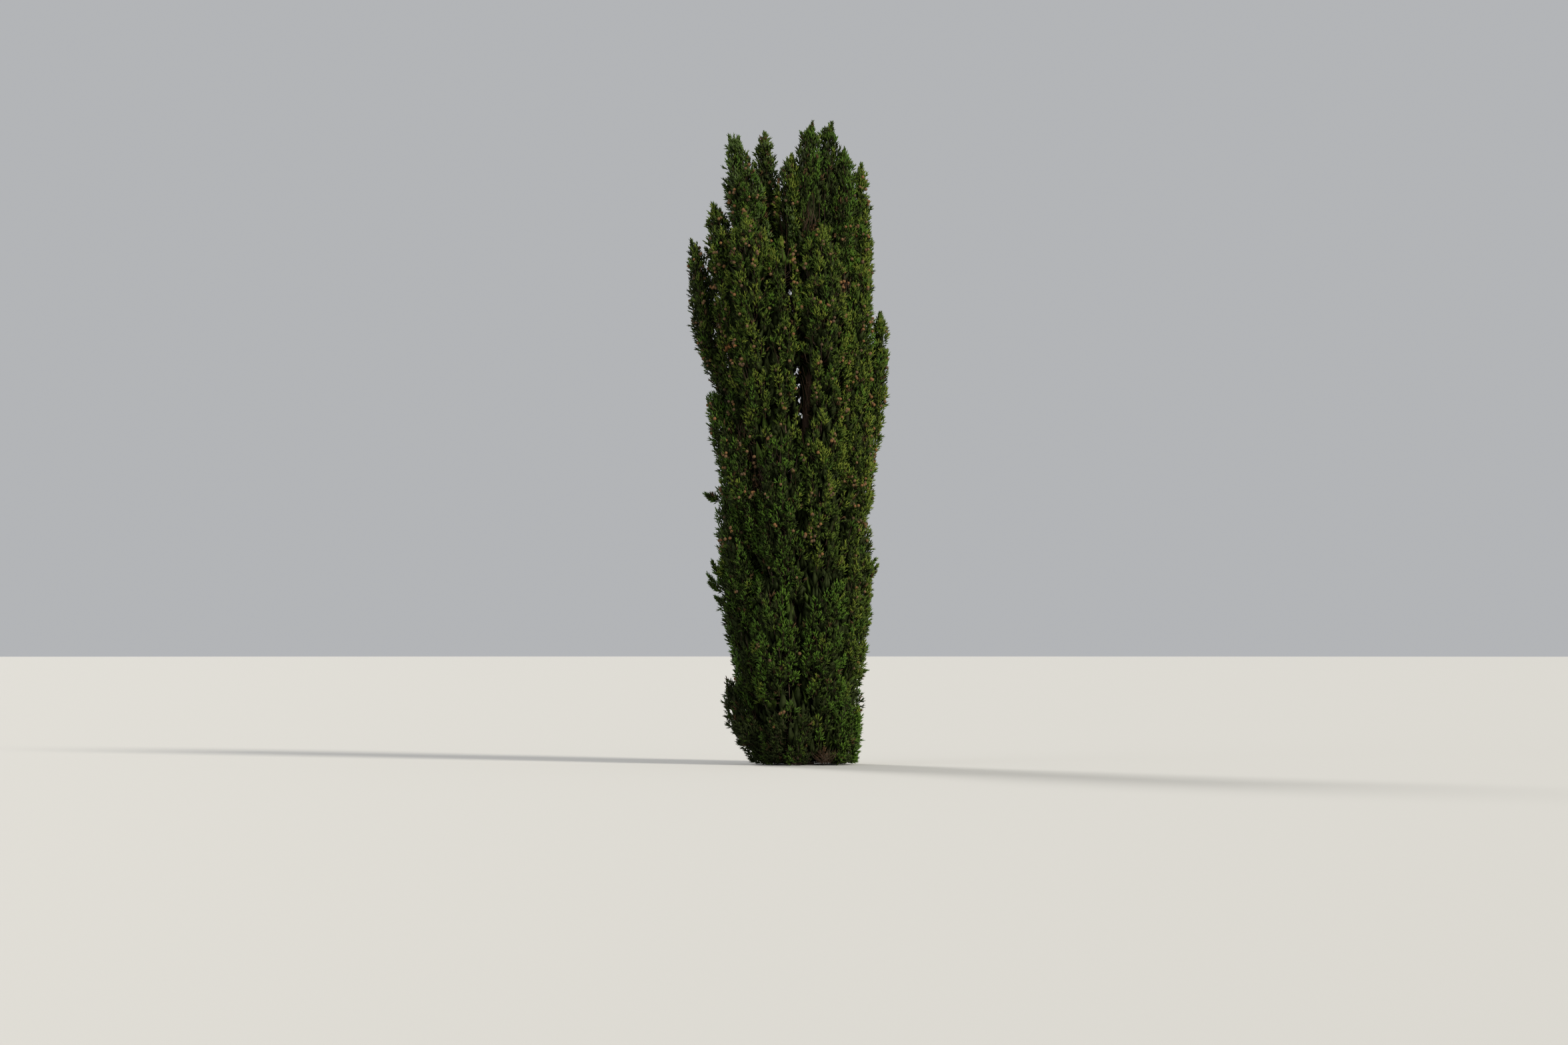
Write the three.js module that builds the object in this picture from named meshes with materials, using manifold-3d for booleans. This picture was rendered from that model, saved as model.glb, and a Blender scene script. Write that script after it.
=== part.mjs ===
import * as THREE from 'three';
import { mergeVertices } from 'three/addons/utils/BufferGeometryUtils.js';
import Module from 'manifold-3d';

// A pencil cypress with several leaders, leafy from the ground to its tips.
// Millimetres, +Z up. The origin is the middle of the flat cut under the trunk, at ground
// level, and the side of the crown with the parting in it looks towards -Y.

// Driving dimensions of the limbs.
const TRUNK = {
  path: [[0, 0, 0], [0, 0, 500], [25, 0, 1700], [70, 5, 3500], [190, 30, 4600], [256, 46, 5480]],
  footRadius: 84,
  tipRadius: 7,
  flare: 46,
  flareHeight: 130,
  rootLobes: 5,
  lobeDepth: 0.16,
  sides: 15,
  steps: 10,
  spacing: 1.8,            // rings stand closer together towards the foot
};
const TOUCHING = 0.3;      // between a limb and the limb or stem that it carries
const LIMB_SOCKET = 8;     // between a limb and the foliage that it passes through
const BOUGH_ENTRY = 0.1;   // how far up its mass's axis a bough ends
const STEM_ENTRY = 0.34;   // how far up its mass's axis a stem is sunk
const LIMB_TAPER = 0.45;   // a limb's radius at its tip over that at its start
const LIMB_RISE = 0.4;     // how far along its way a limb has its first bend
const LIMB_APPROACH = 0.12; // of a limb's length, straight into its mass
const LIMB_SIDES = 6;
const SOCKET_SIDES = 5;
const STEM_SIDES = 5;
const STEM_HEAD = 0.9;     // how far along its limb's curve a stem ends inside the core
const STEM_TAPER = 0.8;
const TRUNK_STEM = 0.85;   // how far up its mass's axis the stem on the trunk's tip ends
const LIMB_STEP = 700;

// Driving dimensions of the foliage.
const AXIS_KNOTS = 20;
const GROUND_CLEAR = 12;
const SPACE_GAP = 12;      // between the spaces of two masses
const CORE_SHARE = 0.92;   // a core's radius over its mass's reach
const CORE_SIDES = 7;
const CORE_GAP = 5;        // between a core and its neighbours
const CORE_STEP = 380;
const CORE_HEEL = 0.4;     // how far a core reaches below its foot, over its reach there
const CORE_TOP = 0.97;     // where along the axis a core has its last ring
const CORE_TIP = 0.985;    // and where it ends in a point
const CORE_SPACING = 0.9;
const MARCH_STEP = 7;
const LEAST_CORE = 14;
const SPRAY_LENGTH = 290;
const SPRAY_AREA = 130000; // of a mass's surface for each spray
const MEAN_GIRTH = 0.75;   // a mass's girth on the whole, over its girth where it is widest
const SPRAY_THICKNESS = 13;
const SPRAY_PROUD = [10, 50]; // how far a spray's tip stands past its mass's reach
const SPRAY_BREADTH = 1.05;
const SPRAY_SCALES = [1, 0.7, 0.45]; // a spray that doesn't fit is tried smaller, then skipped
const SPRAY_RIDGE = 0.4;   // where along it a spray is thickest
const TIP_SPRAY = 220;
const SPRAY_ROOT = 0.82;   // a spray's root's radius over the core's
const GOLDEN_ANGLE = Math.PI * (3 - Math.sqrt(5));
const CONE_RADIUS = 16;
const CONE_PROUD = 0.6;    // how far out of its spray a cone's centre is, over its radius
const CONE_EVERY = 9;      // one spray in so many bears a cone
const CONE_ZONE = { low: 900, high: 5750 };

// The outline of a spray, as shares of its length along it and across it.
const SPRAY_TEETH = [[0, 0], [0.42, 0.27], [0.6, 0.13], [1, 0], [0.72, -0.24], [0.5, -0.13]];

// The parting runs down the front between the left and right halves of the crown. Sky shows
// through it in two places, and the trunk shows beside it.
const PARTING = { top: [-193, 5721], foot: [32, 3141], halfWidth: 20, depth: -60 };
const SKY_SLITS = [
  { low: 4370, high: 4625, halfWidth: 21 },
  { low: 3367, high: 3915, halfWidth: 18 },
];
const TRUNK_WINDOW = { left: 20, right: 112, low: 3244, high: 3941 };

// Each mass of foliage is a plume round an axis that bends from its foot to its tip. Its girth
// is its widest reach from the axis, broad is how much deeper than wide it is, widest says where
// along the axis that is, heel is the share of it at the foot, and a lower blunt gives a rounder
// tip. A mass grows from the limb named, at a height, through a bough of its own unless it has a
// stem straight from the trunk.
const PLUMES = [
  // Leaders at the top.
  {
    name: 'left_leader', girth: 180, broad: 1.3, widest: 0.55, heel: 0.85, blunt: 0.5,
    foot: [-320, -40, 4050], bend: [-485, -60, 5250], tip: [-640, -60, 6075],
    limb: 'trunk', height: 900, thick: 46, via: [-170, -20, 2500],
  },
  {
    name: 'second_leader', girth: 128, broad: 1.2, widest: 0.45, heel: 0.9, blunt: 0.65,
    foot: [-260, 110, 4350], bend: [-335, 130, 5350], tip: [-345, 120, 6118],
    limb: 'left_leader', height: 2900, thick: 22,
  },
  {
    name: 'centre_tip', girth: 132, broad: 1.2, widest: 0.45, heel: 0.9, blunt: 0.6,
    foot: [-40, -60, 4400], bend: [-118, -80, 5250], tip: [-90, -60, 5890],
    limb: 'trunk', height: 3950, thick: 15,
  },
  {
    name: 'right_twin', girth: 165, broad: 1.4, widest: 0.6, heel: 0.9, blunt: 0.45,
    foot: [70, -50, 4150], bend: [55, -60, 5300], tip: [110, -30, 6195],
    limb: 'trunk', height: 3700, thick: 20,
  },
  {
    name: 'right_leader', girth: 190, broad: 1.4, widest: 0.5, heel: 0.85, blunt: 0.55,
    foot: [190, 40, 4050], bend: [250, 60, 5250], tip: [285, 30, 6205],
    limb: 'trunk',
  },
  {
    name: 'right_shoulder', girth: 148, broad: 1.6, widest: 0.5, heel: 0.85, blunt: 0.6,
    foot: [360, 0, 4250], bend: [420, 0, 5250], tip: [430, 0, 5950],
    limb: 'trunk', height: 3300, thick: 18,
  },
  {
    name: 'far_right_leader', girth: 125, broad: 1.8, widest: 0.35, heel: 0.8, blunt: 0.8,
    foot: [485, 40, 3550], bend: [590, 60, 4700], tip: [578, 40, 5805],
    limb: 'trunk', height: 1500, thick: 32, via: [190, 40, 2400],
  },
  // Left side.
  {
    name: 'left_flank', girth: 212, broad: 1.7, widest: 0.45, heel: 0.8, blunt: 0.55,
    foot: [-570, -60, 3150], bend: [-595, -60, 4450], tip: [-830, -60, 5420],
    limb: 'left_leader', height: 2000, thick: 22,
  },
  {
    name: 'left_front', girth: 285, broad: 0.9, widest: 0.45, heel: 0.7, blunt: 0.7,
    foot: [-330, -230, 3150], bend: [-430, -360, 4250], tip: [-520, -300, 5300],
    limb: 'left_leader', height: 2300, thick: 20,
  },
  {
    name: 'centre_column', girth: 235, broad: 1, widest: 0.45, heel: 0.7, blunt: 0.7,
    foot: [-140, -250, 3100], bend: [-150, -380, 4150], tip: [-190, -320, 5080],
    limb: 'trunk', height: 2350, thick: 18,
  },
  {
    name: 'left_outlier', girth: 100, broad: 1.4, widest: 0.45, heel: 0.6, blunt: 0.5,
    foot: [-800, -40, 3800], bend: [-945, -40, 4250], tip: [-1020, -40, 5075],
    limb: 'left_leader', height: 1650, thick: 18, via: [-560, 60, 2950],
  },
  {
    name: 'left_mid', girth: 190, broad: 1.6, widest: 0.35, heel: 0.85, blunt: 0.7,
    foot: [-390, -160, 2150], bend: [-560, -180, 2850], tip: [-870, -140, 3600],
    limb: 'trunk', height: 1350, thick: 18,
  },
  {
    name: 'left_low', girth: 195, broad: 1.8, widest: 0.45, heel: 0.8, blunt: 0.7,
    foot: [-370, -60, 1050], bend: [-605, -80, 1850], tip: [-690, -60, 2950],
    limb: 'trunk', height: 620, thick: 18,
  },
  {
    name: 'left_lower', girth: 195, broad: 1.8, widest: 0.3, heel: 0.9, blunt: 0.8,
    foot: [-340, -60, 480], bend: [-450, -80, 1150], tip: [-785, -60, 1950],
    limb: 'trunk', height: 360, thick: 14, stem: true,
  },
  {
    name: 'foot_left', girth: 172, broad: 1.8, widest: 0.4, heel: 0.95, blunt: 0.6,
    foot: [-290, -60, 130], bend: [-520, -60, 330], tip: [-710, -60, 850],
    limb: 'trunk', height: 130, thick: 14, stem: true,
  },
  // Right side.
  {
    name: 'right_outlier', girth: 92, broad: 1.5, widest: 0.5, heel: 0.6, blunt: 0.6,
    foot: [640, -20, 2950], bend: [742, -20, 3700], tip: [780, -20, 4345],
    limb: 'far_right_leader', height: 2250, thick: 14,
  },
  {
    name: 'right_flank', girth: 200, broad: 1.2, widest: 0.45, heel: 0.7, blunt: 0.7,
    foot: [400, -150, 2800], bend: [510, -170, 3900], tip: [560, -120, 4900],
    limb: 'trunk', height: 2050, thick: 18,
  },
  {
    name: 'right_mid', girth: 222, broad: 1.9, widest: 0.45, heel: 0.75, blunt: 0.7,
    foot: [370, -60, 1850], bend: [495, -60, 2700], tip: [610, -40, 3750],
    limb: 'trunk', height: 1250, thick: 18,
  },
  {
    name: 'right_low', girth: 225, broad: 2.0, widest: 0.4, heel: 0.9, blunt: 0.7,
    foot: [320, -40, 450], bend: [455, -60, 1450], tip: [585, -40, 2650],
    limb: 'trunk', height: 380, thick: 14, stem: true,
  },
  {
    name: 'foot_right', girth: 222, broad: 2.0, widest: 0.2, heel: 0.98, blunt: 0.8,
    foot: [325, -40, 110], bend: [400, -40, 500], tip: [455, -40, 1450],
    limb: 'trunk', height: 150, thick: 14, stem: true,
  },
  // Front.
  {
    name: 'low_front_left', girth: 310, broad: 0.85, widest: 0.45, heel: 0.75, blunt: 0.7,
    foot: [-130, -220, 420], bend: [-200, -420, 1100], tip: [-280, -330, 1950],
    limb: 'trunk', height: 330, thick: 14, stem: true,
  },
  {
    name: 'low_front_right', girth: 300, broad: 0.85, widest: 0.45, heel: 0.75, blunt: 0.7,
    foot: [160, -210, 260], bend: [210, -400, 1100], tip: [220, -320, 2150],
    limb: 'trunk', height: 240, thick: 14, stem: true,
  },
  {
    name: 'foot_front', girth: 310, broad: 0.8, widest: 0.3, heel: 0.9, blunt: 0.7,
    foot: [-70, -240, 110], bend: [-80, -430, 350], tip: [-120, -380, 1000],
    limb: 'trunk', height: 110, thick: 14, stem: true,
  },
  {
    name: 'mid_front_left', girth: 300, broad: 0.85, widest: 0.45, heel: 0.75, blunt: 0.7,
    foot: [-90, -240, 1550], bend: [-165, -410, 2500], tip: [-215, -330, 3450],
    limb: 'trunk', height: 1050, thick: 18,
  },
  {
    name: 'mid_front_right', girth: 290, broad: 0.85, widest: 0.45, heel: 0.75, blunt: 0.7,
    foot: [165, -230, 1600], bend: [190, -400, 2700], tip: [195, -330, 3650],
    limb: 'trunk', height: 1150, thick: 18,
  },
  {
    name: 'right_front', girth: 270, broad: 0.9, widest: 0.45, heel: 0.75, blunt: 0.7,
    foot: [190, -240, 3200], bend: [215, -400, 4200], tip: [205, -300, 5200],
    limb: 'trunk', height: 2550, thick: 18,
  },
  // Back.
  {
    name: 'low_back_left', girth: 330, broad: 0.85, widest: 0.4, heel: 0.8, blunt: 0.7,
    foot: [-160, 220, 110], bend: [-280, 420, 1100], tip: [-300, 330, 2100],
    limb: 'trunk', height: 170, thick: 14, stem: true,
  },
  {
    name: 'low_back_right', girth: 320, broad: 0.85, widest: 0.4, heel: 0.8, blunt: 0.7,
    foot: [180, 220, 110], bend: [260, 420, 1000], tip: [280, 330, 2100],
    limb: 'trunk', height: 210, thick: 14, stem: true,
  },
  {
    name: 'mid_back_left', girth: 330, broad: 0.85, widest: 0.45, heel: 0.75, blunt: 0.7,
    foot: [-110, 240, 1600], bend: [-190, 430, 2700], tip: [-260, 330, 3800],
    limb: 'trunk', height: 1000, thick: 18,
  },
  {
    name: 'mid_back_right', girth: 320, broad: 0.85, widest: 0.45, heel: 0.75, blunt: 0.7,
    foot: [215, 240, 1600], bend: [300, 430, 2700], tip: [330, 330, 3800],
    limb: 'trunk', height: 1100, thick: 18,
  },
  {
    name: 'high_back_left', girth: 300, broad: 0.9, widest: 0.45, heel: 0.75, blunt: 0.7,
    foot: [-220, 220, 3200], bend: [-320, 370, 4300], tip: [-390, 270, 5520],
    limb: 'left_leader', height: 2450, thick: 18,
  },
  {
    name: 'high_back_right', girth: 305, broad: 0.9, widest: 0.45, heel: 0.75, blunt: 0.7,
    foot: [240, 220, 3200], bend: [300, 380, 4300], tip: [270, 280, 5640],
    limb: 'trunk', height: 2450, thick: 20,
  },
];

// Twigs that stand well out of the crown's outline, each with the mass that it grows from.
const SPURS = [
  { mass: 'left_flank', tip: [-898, -80, 5235], rise: 150 },
  { mass: 'left_leader', tip: [-752, -70, 5600], rise: 130 },
  { mass: 'left_mid', tip: [-868, -150, 3200], rise: 120 },
  { mass: 'left_low', tip: [-915, -80, 2590], rise: 20 },
  { mass: 'left_lower', tip: [-884, -80, 1795], rise: 130 },
  { mass: 'left_lower', tip: [-815, -90, 1612], rise: 110 },
  { mass: 'right_low', tip: [772, -60, 1960], rise: 190 },
  { mass: 'right_low', tip: [698, -70, 1622], rise: 90 },
  { mass: 'right_low', tip: [682, -60, 1345], rise: 70 },
  { mass: 'right_outlier', tip: [832, -30, 3900], rise: 120 },
  { mass: 'far_right_leader', tip: [668, 30, 5125], rise: 90 },
];
const SPUR_RADII = [9, 3];
const SPUR_BEND = 0.6;     // where along it a spur's twig turns up
const SPUR_SAG = 0.15;     // how far it hangs there, over its rise
const SPUR_END = 0.88;     // where its twig ends inside its last spray
const SPUR_SPRAY = 105;
const SPUR_LEAN = 0.4;     // radians between the two sprays
const SPUR_FORKS = [0.55, 0.76]; // where along its twig the two sprays are rooted

const wasm = await Module();
wasm.setup();

const UP = new THREE.Vector3(0, 0, 1);
const vector = (point) => new THREE.Vector3(...point);

// The same numbers each time for the same seed, from 0 to 1.
function seeded(seed) {
  let state = seed;
  return () => {
    state = (state + 0x6d2b79f5) | 0;
    let mixed = Math.imul(state ^ (state >>> 15), 1 | state);
    mixed = (mixed + Math.imul(mixed ^ (mixed >>> 7), 61 | mixed)) ^ mixed;
    return ((mixed ^ (mixed >>> 14)) >>> 0) / 4294967296;
  };
}

// A closed geometry as a solid that can be joined and cut.
function solidOf(geometry) {
  geometry.deleteAttribute('normal');
  geometry.deleteAttribute('uv');
  const merged = mergeVertices(geometry);
  return new wasm.Manifold(new wasm.Mesh({
    numProp: 3,
    vertProperties: new Float32Array(merged.attributes.position.array),
    triVerts: new Uint32Array(merged.index.array),
  }));
}

function geometryOf(solid) {
  const mesh = solid.getMesh();
  const geometry = new THREE.BufferGeometry();
  geometry.setAttribute('position', new THREE.BufferAttribute(mesh.vertProperties, 3));
  geometry.setIndex(new THREE.BufferAttribute(mesh.triVerts, 1));
  geometry.computeVertexNormals();
  return geometry;
}

// A tapering body of rings. place gives the point of a ring at an angle round it, or on the
// body's own axis where the angle is null.
function ringed(sides, rings, place) {
  const geometry = new THREE.CylinderGeometry(1, 1, 1, sides, rings);
  const position = geometry.attributes.position;
  const sideAngle = (2 * Math.PI) / sides;
  for (let i = 0; i < position.count; i += 1) {
    const ring = Math.round((position.getY(i) + 0.5) * rings);
    const x = position.getX(i);
    const z = position.getZ(i);
    const onAxis = Math.hypot(x, z) < 0.5;
    const side = Math.round(Math.atan2(x, z) / sideAngle + sides) % sides;
    const point = place(ring, onAxis ? null : Math.PI / 2 - side * sideAngle);
    position.setXYZ(i, point.x, point.y, point.z);
  }
  return solidOf(geometry);
}

// Three directions at a place along a limb or a mass: across, along and the third.
function frameOf(tangent, reference) {
  const across = reference.clone().addScaledVector(tangent, -reference.dot(tangent)).normalize();
  return { across, along: tangent, third: new THREE.Vector3().crossVectors(across, tangent) };
}

// A level direction across the way that a limb or a mass leans.
function acrossFrom(heading) {
  return heading.length() < 1 ? new THREE.Vector3(1, 0, 0) : UP.clone().cross(heading).normalize();
}

function roundFrom(centre, frame, angle, radius) {
  return centre.clone()
    .addScaledVector(frame.across, Math.cos(angle) * radius)
    .addScaledVector(frame.third, Math.sin(angle) * radius);
}

function distanceToSegment(point, start, end) {
  const run = end.clone().sub(start);
  const share = THREE.MathUtils.clamp(point.clone().sub(start).dot(run) / run.lengthSq(), 0, 1);
  return { share, distance: point.distanceTo(run.multiplyScalar(share).add(start)) };
}

class Limb {
  constructor(points, radii, options = {}) {
    this.curve = new THREE.CatmullRomCurve3(points, false, 'centripetal');
    this.radii = radii;
    this.end = options.end ?? 1;
    this.sides = options.sides ?? LIMB_SIDES;
    this.swell = options.swell ?? (() => 0);
    this.spacing = options.spacing ?? 1;
    const heading = points[points.length - 1].clone().sub(points[0]).setZ(0);
    this.reference = acrossFrom(heading);
    const stepsByLength = Math.round((this.curve.getLength() * this.end) / LIMB_STEP);
    this.steps = options.steps ?? Math.max(3, stepsByLength);
  }

  radius(t) {
    return THREE.MathUtils.lerp(this.radii[0], this.radii[1], Math.min(1, t / this.end));
  }

  frame(t) {
    return frameOf(this.curve.getTangent(t), this.reference);
  }

  atHeight(height) {
    let low = 0;
    let high = 1;
    for (let i = 0; i < 30; i += 1) {
      const middle = (low + high) / 2;
      if (this.curve.getPoint(middle).z < height) low = middle;
      else high = middle;
    }
    return this.curve.getPoint(low);
  }

  // The limb up to a share of its curve, thicker by extra all round and longer by ends at both
  // ends.
  solid({ to = this.end, extra = 0, ends = 0, sides = this.sides } = {}) {
    const { steps } = this;
    return ringed(sides, steps, (ring, angle) => {
      const t = to * (ring / steps) ** this.spacing;
      const frame = this.frame(t);
      const centre = this.curve.getPoint(t);
      if (ring === 0) centre.addScaledVector(frame.along, -ends);
      if (ring === steps) centre.addScaledVector(frame.along, ends);
      if (angle === null) return centre;
      return roundFrom(centre, frame, angle, this.radius(t) + this.swell(centre.z, angle) + extra);
    });
  }
}

class Plume {
  constructor(row, number) {
    Object.assign(this, row);
    this.random = seeded(number + 11);
    this.axis = new THREE.QuadraticBezierCurve3(vector(row.foot), vector(row.bend), vector(row.tip));
    this.length = this.axis.getLength();
    this.knots = this.axis.getPoints(AXIS_KNOTS);
    this.flatKnots = this.knots.map((knot) => this.flattened(knot));
    const heading = vector(row.tip).sub(vector(row.foot)).setZ(0);
    this.reference = acrossFrom(heading);
  }

  frame(t) {
    return frameOf(this.axis.getTangent(t), this.reference);
  }

  reach(t) {
    const { widest, heel, blunt, girth } = this;
    const quarter = Math.PI / 2;
    if (t < widest) return girth * (heel + (1 - heel) * Math.sin((quarter * t) / widest));
    const past = Math.min(1, (t - widest) / (1 - widest));
    return girth * Math.max(0, Math.cos(quarter * past)) ** blunt;
  }

  // The point with its depth drawn in, so that the plume is round.
  flattened(point) {
    return new THREE.Vector3(point.x, point.y / this.broad, point.z);
  }

  // The point at this radius from the axis, at an angle round it.
  place(t, angle, radius) {
    const centre = this.axis.getPoint(t);
    const offset = roundFrom(new THREE.Vector3(), this.frame(t), angle, radius);
    offset.y *= this.broad;
    return centre.add(offset);
  }

  // How far a point lies outside this plume, or inside it where the number is negative.
  excess(point) {
    const flat = this.flattened(point);
    let best = Infinity;
    const last = this.knots.length - 1;
    for (let i = 0; i < last; i += 1) {
      const { share, distance } = distanceToSegment(flat, this.flatKnots[i], this.flatKnots[i + 1]);
      best = Math.min(best, distance - this.reach((i + share) / last));
    }
    return best;
  }
}

function partingAt(height) {
  const [topX, topZ] = PARTING.top;
  const [footX, footZ] = PARTING.foot;
  return THREE.MathUtils.mapLinear(height, footZ, topZ, footX, topX);
}

// Where the crown is open: in front of the parting, through its two slits and before the trunk.
function inOpening(point) {
  const offset = Math.abs(point.x - partingAt(point.z));
  const within = (low, high) => point.z > low && point.z < high;
  if (SKY_SLITS.some((slit) => within(slit.low, slit.high) && offset < slit.halfWidth)) return true;
  if (point.y > PARTING.depth) return false;
  if (within(PARTING.foot[1], PARTING.top[1]) && offset < PARTING.halfWidth) return true;
  const { left, right, low, high } = TRUNK_WINDOW;
  return within(low, high) && point.x > left && point.x < right;
}

const plumes = PLUMES.map((row, number) => new Plume(row, number));

// Whether a point lies in a plume's own space, which is nearer to it than to any other plume.
function inOwnSpace(plume, point, gap = SPACE_GAP) {
  if (point.z < GROUND_CLEAR || inOpening(point)) return false;
  const own = plume.excess(point) + gap;
  return plumes.every((other) => other === plume || own < other.excess(point));
}

// The root flare, in a few lobes that die out up the trunk.
function rootFlare(height, angle) {
  const share = Math.exp(-height / TRUNK.flareHeight);
  const lobe = 1 + TRUNK.lobeDepth * share * Math.cos(TRUNK.rootLobes * angle);
  return (TRUNK.footRadius + TRUNK.flare * share) * lobe - TRUNK.footRadius;
}

function makeTrunk() {
  return new Limb(TRUNK.path.map(vector), [TRUNK.footRadius, TRUNK.tipRadius], {
    sides: TRUNK.sides, steps: TRUNK.steps, spacing: TRUNK.spacing, swell: rootFlare,
  });
}

// The limb that carries a plume. It leaves the trunk or a larger limb, bends upwards and runs
// into the plume's foot. What lies past its end is the stem fused inside the plume.
function limbTo(plume, carrier) {
  const start = carrier.atHeight(plume.height);
  const entry = plume.axis.getPoint(BOUGH_ENTRY);
  const inside = plume.axis.getPoint(STEM_ENTRY);
  const straight = start.distanceTo(entry) * LIMB_APPROACH;
  const approach = entry.clone().addScaledVector(plume.frame(BOUGH_ENTRY).along, -straight);
  const rise = start.clone().lerp(approach, LIMB_RISE);
  rise.z = (start.z + approach.z) / 2;
  const middle = plume.via ? vector(plume.via) : rise;
  const points = [start, middle, approach, entry, inside];
  const entryShare = points.indexOf(entry) / (points.length - 1);
  return new Limb(points, [plume.thick, plume.thick * LIMB_TAPER], { end: entryShare });
}

const trunk = makeTrunk();
const limbs = new Map([['trunk', trunk]]);
for (const plume of plumes.filter(({ name }) => name !== 'right_leader')) {
  limbs.set(plume.name, limbTo(plume, limbs.get(plume.limb)));
}

function boxesMeet(one, other) {
  const a = one.boundingBox();
  const b = other.boundingBox();
  return [0, 1, 2].every((i) => a.min[i] < b.max[i] && b.min[i] < a.max[i]);
}

function meets(one, other) {
  return boxesMeet(one, other) && one.intersect(other).volume() > 0;
}

// The largest body of a solid, without scraps.
function whole(solid) {
  return solid.decompose().sort((a, b) => b.volume() - a.volume())[0];
}

function cutClear(solid, cutters) {
  return cutters.reduce((rest, cutter) => (
    boxesMeet(rest, cutter) ? rest.subtract(cutter) : rest
  ), solid);
}

// The core's own radius at each ring and side, as far out as its share of the reach and the
// plume's own space let it go.
function coreRadius(plume, t, angle) {
  const limit = plume.reach(t) * CORE_SHARE;
  let radius = LEAST_CORE;
  for (let next = radius; next < limit; next += MARCH_STEP) {
    if (!inOwnSpace(plume, plume.place(t, angle, next))) break;
    radius = next;
  }
  return radius;
}

function makeCore(plume, extra = 0) {
  const rings = Math.max(4, Math.round(plume.length / CORE_STEP));
  const heel = plume.reach(0) * CORE_HEEL + extra;
  const foot = plume.axis.getPoint(0).addScaledVector(plume.frame(0).along, -heel);
  foot.z = Math.max(foot.z, GROUND_CLEAR);
  const top = plume.axis.getPoint(CORE_TIP).addScaledVector(plume.frame(1).along, extra);
  return ringed(CORE_SIDES, rings, (ring, angle) => {
    const t = CORE_TOP * (ring / rings) ** CORE_SPACING;
    if (angle === null) return ring === 0 ? foot : top;
    return plume.place(t, angle, coreRadius(plume, t, angle) + extra);
  });
}

// A toothed blade with a ridge on both faces, which stands for a spray of scale leaves. Its
// broad faces look outward and inward, turned a little by twist.
function makeSpray(root, tip, outward, twist = 0) {
  const along = tip.clone().sub(root);
  const length = along.length();
  const axis = along.clone().normalize();
  const across = new THREE.Vector3().crossVectors(outward, axis).normalize();
  across.applyAxisAngle(axis, twist);
  const normal = new THREE.Vector3().crossVectors(across, axis);
  const count = SPRAY_TEETH.length;
  const geometry = new THREE.SphereGeometry(1, count, 2);
  const position = geometry.attributes.position;
  for (let i = 0; i < position.count; i += 1) {
    const height = Math.round(position.getY(i));
    const turn = Math.atan2(position.getZ(i), -position.getX(i)) / (2 * Math.PI);
    const tooth = SPRAY_TEETH[(Math.round(turn * count) + count) % count];
    const [share, offset] = height === 0 ? tooth : [SPRAY_RIDGE, 0];
    const point = root.clone()
      .addScaledVector(along, share)
      .addScaledVector(across, offset * length * SPRAY_BREADTH)
      .addScaledVector(normal, height * SPRAY_THICKNESS);
    position.setXYZ(i, point.x, point.y, point.z);
  }
  return solidOf(geometry);
}

function pointsOf(solid) {
  const { vertProperties } = solid.getMesh();
  const points = [];
  for (let i = 0; i < vertProperties.length; i += 3) {
    points.push(new THREE.Vector3(vertProperties[i], vertProperties[i + 1], vertProperties[i + 2]));
  }
  return points;
}

// Whether a spray or cone keeps to its plume's own space and off everything that isn't its own.
function fits(solid, plume, obstacles) {
  return pointsOf(solid).every((point) => inOwnSpace(plume, point))
    && !obstacles.some((obstacle) => meets(solid, obstacle));
}

// Sprays on a golden-angle spiral up the plume, each from inside the core to past the plume's
// reach.
function makeSprays(plume, obstacles) {
  const { random } = plume;
  const surface = 2 * Math.PI * plume.girth * MEAN_GIRTH * plume.length;
  const count = Math.round(surface / SPRAY_AREA) + 2;
  const sprays = [];
  for (let i = 0; i < count; i += 1) {
    const end = Math.min(1, (i + 1) / count);
    const angle = i * GOLDEN_ANGLE + (random() - 0.5) * 0.5;
    const length = SPRAY_LENGTH * (0.85 + 0.3 * random());
    const proud = THREE.MathUtils.lerp(...SPRAY_PROUD, random());
    const twist = (random() - 0.5) * 1.1;
    const outward = roundFrom(new THREE.Vector3(), plume.frame(end), angle, 1);
    const spray = SPRAY_SCALES.map((scale) => {
      const start = Math.max(0, end - (length * scale) / plume.length);
      const tip = plume.place(end, angle, plume.reach(end) + proud * scale);
      const root = plume.place(start, angle, coreRadius(plume, start, angle) * SPRAY_ROOT);
      return makeSpray(root, tip, outward, twist);
    }).find((solid) => fits(solid, plume, obstacles));
    if (spray) sprays.push(spray);
  }
  return sprays;
}

// The upright spray that ends at the plume's very tip.
function makeTipSpray(plume) {
  const outward = new THREE.Vector3(0, Math.sign(plume.bend[1]) || 1, 0);
  return makeSpray(plume.axis.getPoint(1 - TIP_SPRAY / plume.length), plume.axis.getPoint(1), outward);
}

// A cone on the outer face of every few sprays, sunk into it.
function makeCones(plume, sprays, obstacles) {
  const cones = [];
  sprays.filter((spray, number) => number % CONE_EVERY === 2).forEach((spray) => {
    const { min, max } = spray.boundingBox();
    const middle = vector(min).add(vector(max)).multiplyScalar(0.5);
    if (middle.z < CONE_ZONE.low || middle.z > CONE_ZONE.high) return;
    const outward = middle.clone().sub(plume.axis.getPoint(0.5)).setZ(0).normalize();
    const place = middle.addScaledVector(outward, CONE_RADIUS * CONE_PROUD);
    const cone = solidOf(new THREE.IcosahedronGeometry(CONE_RADIUS, 0).translate(...place));
    if (meets(cone, spray) && fits(cone, plume, obstacles)) cones.push(cone);
  });
  return cones;
}

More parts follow.
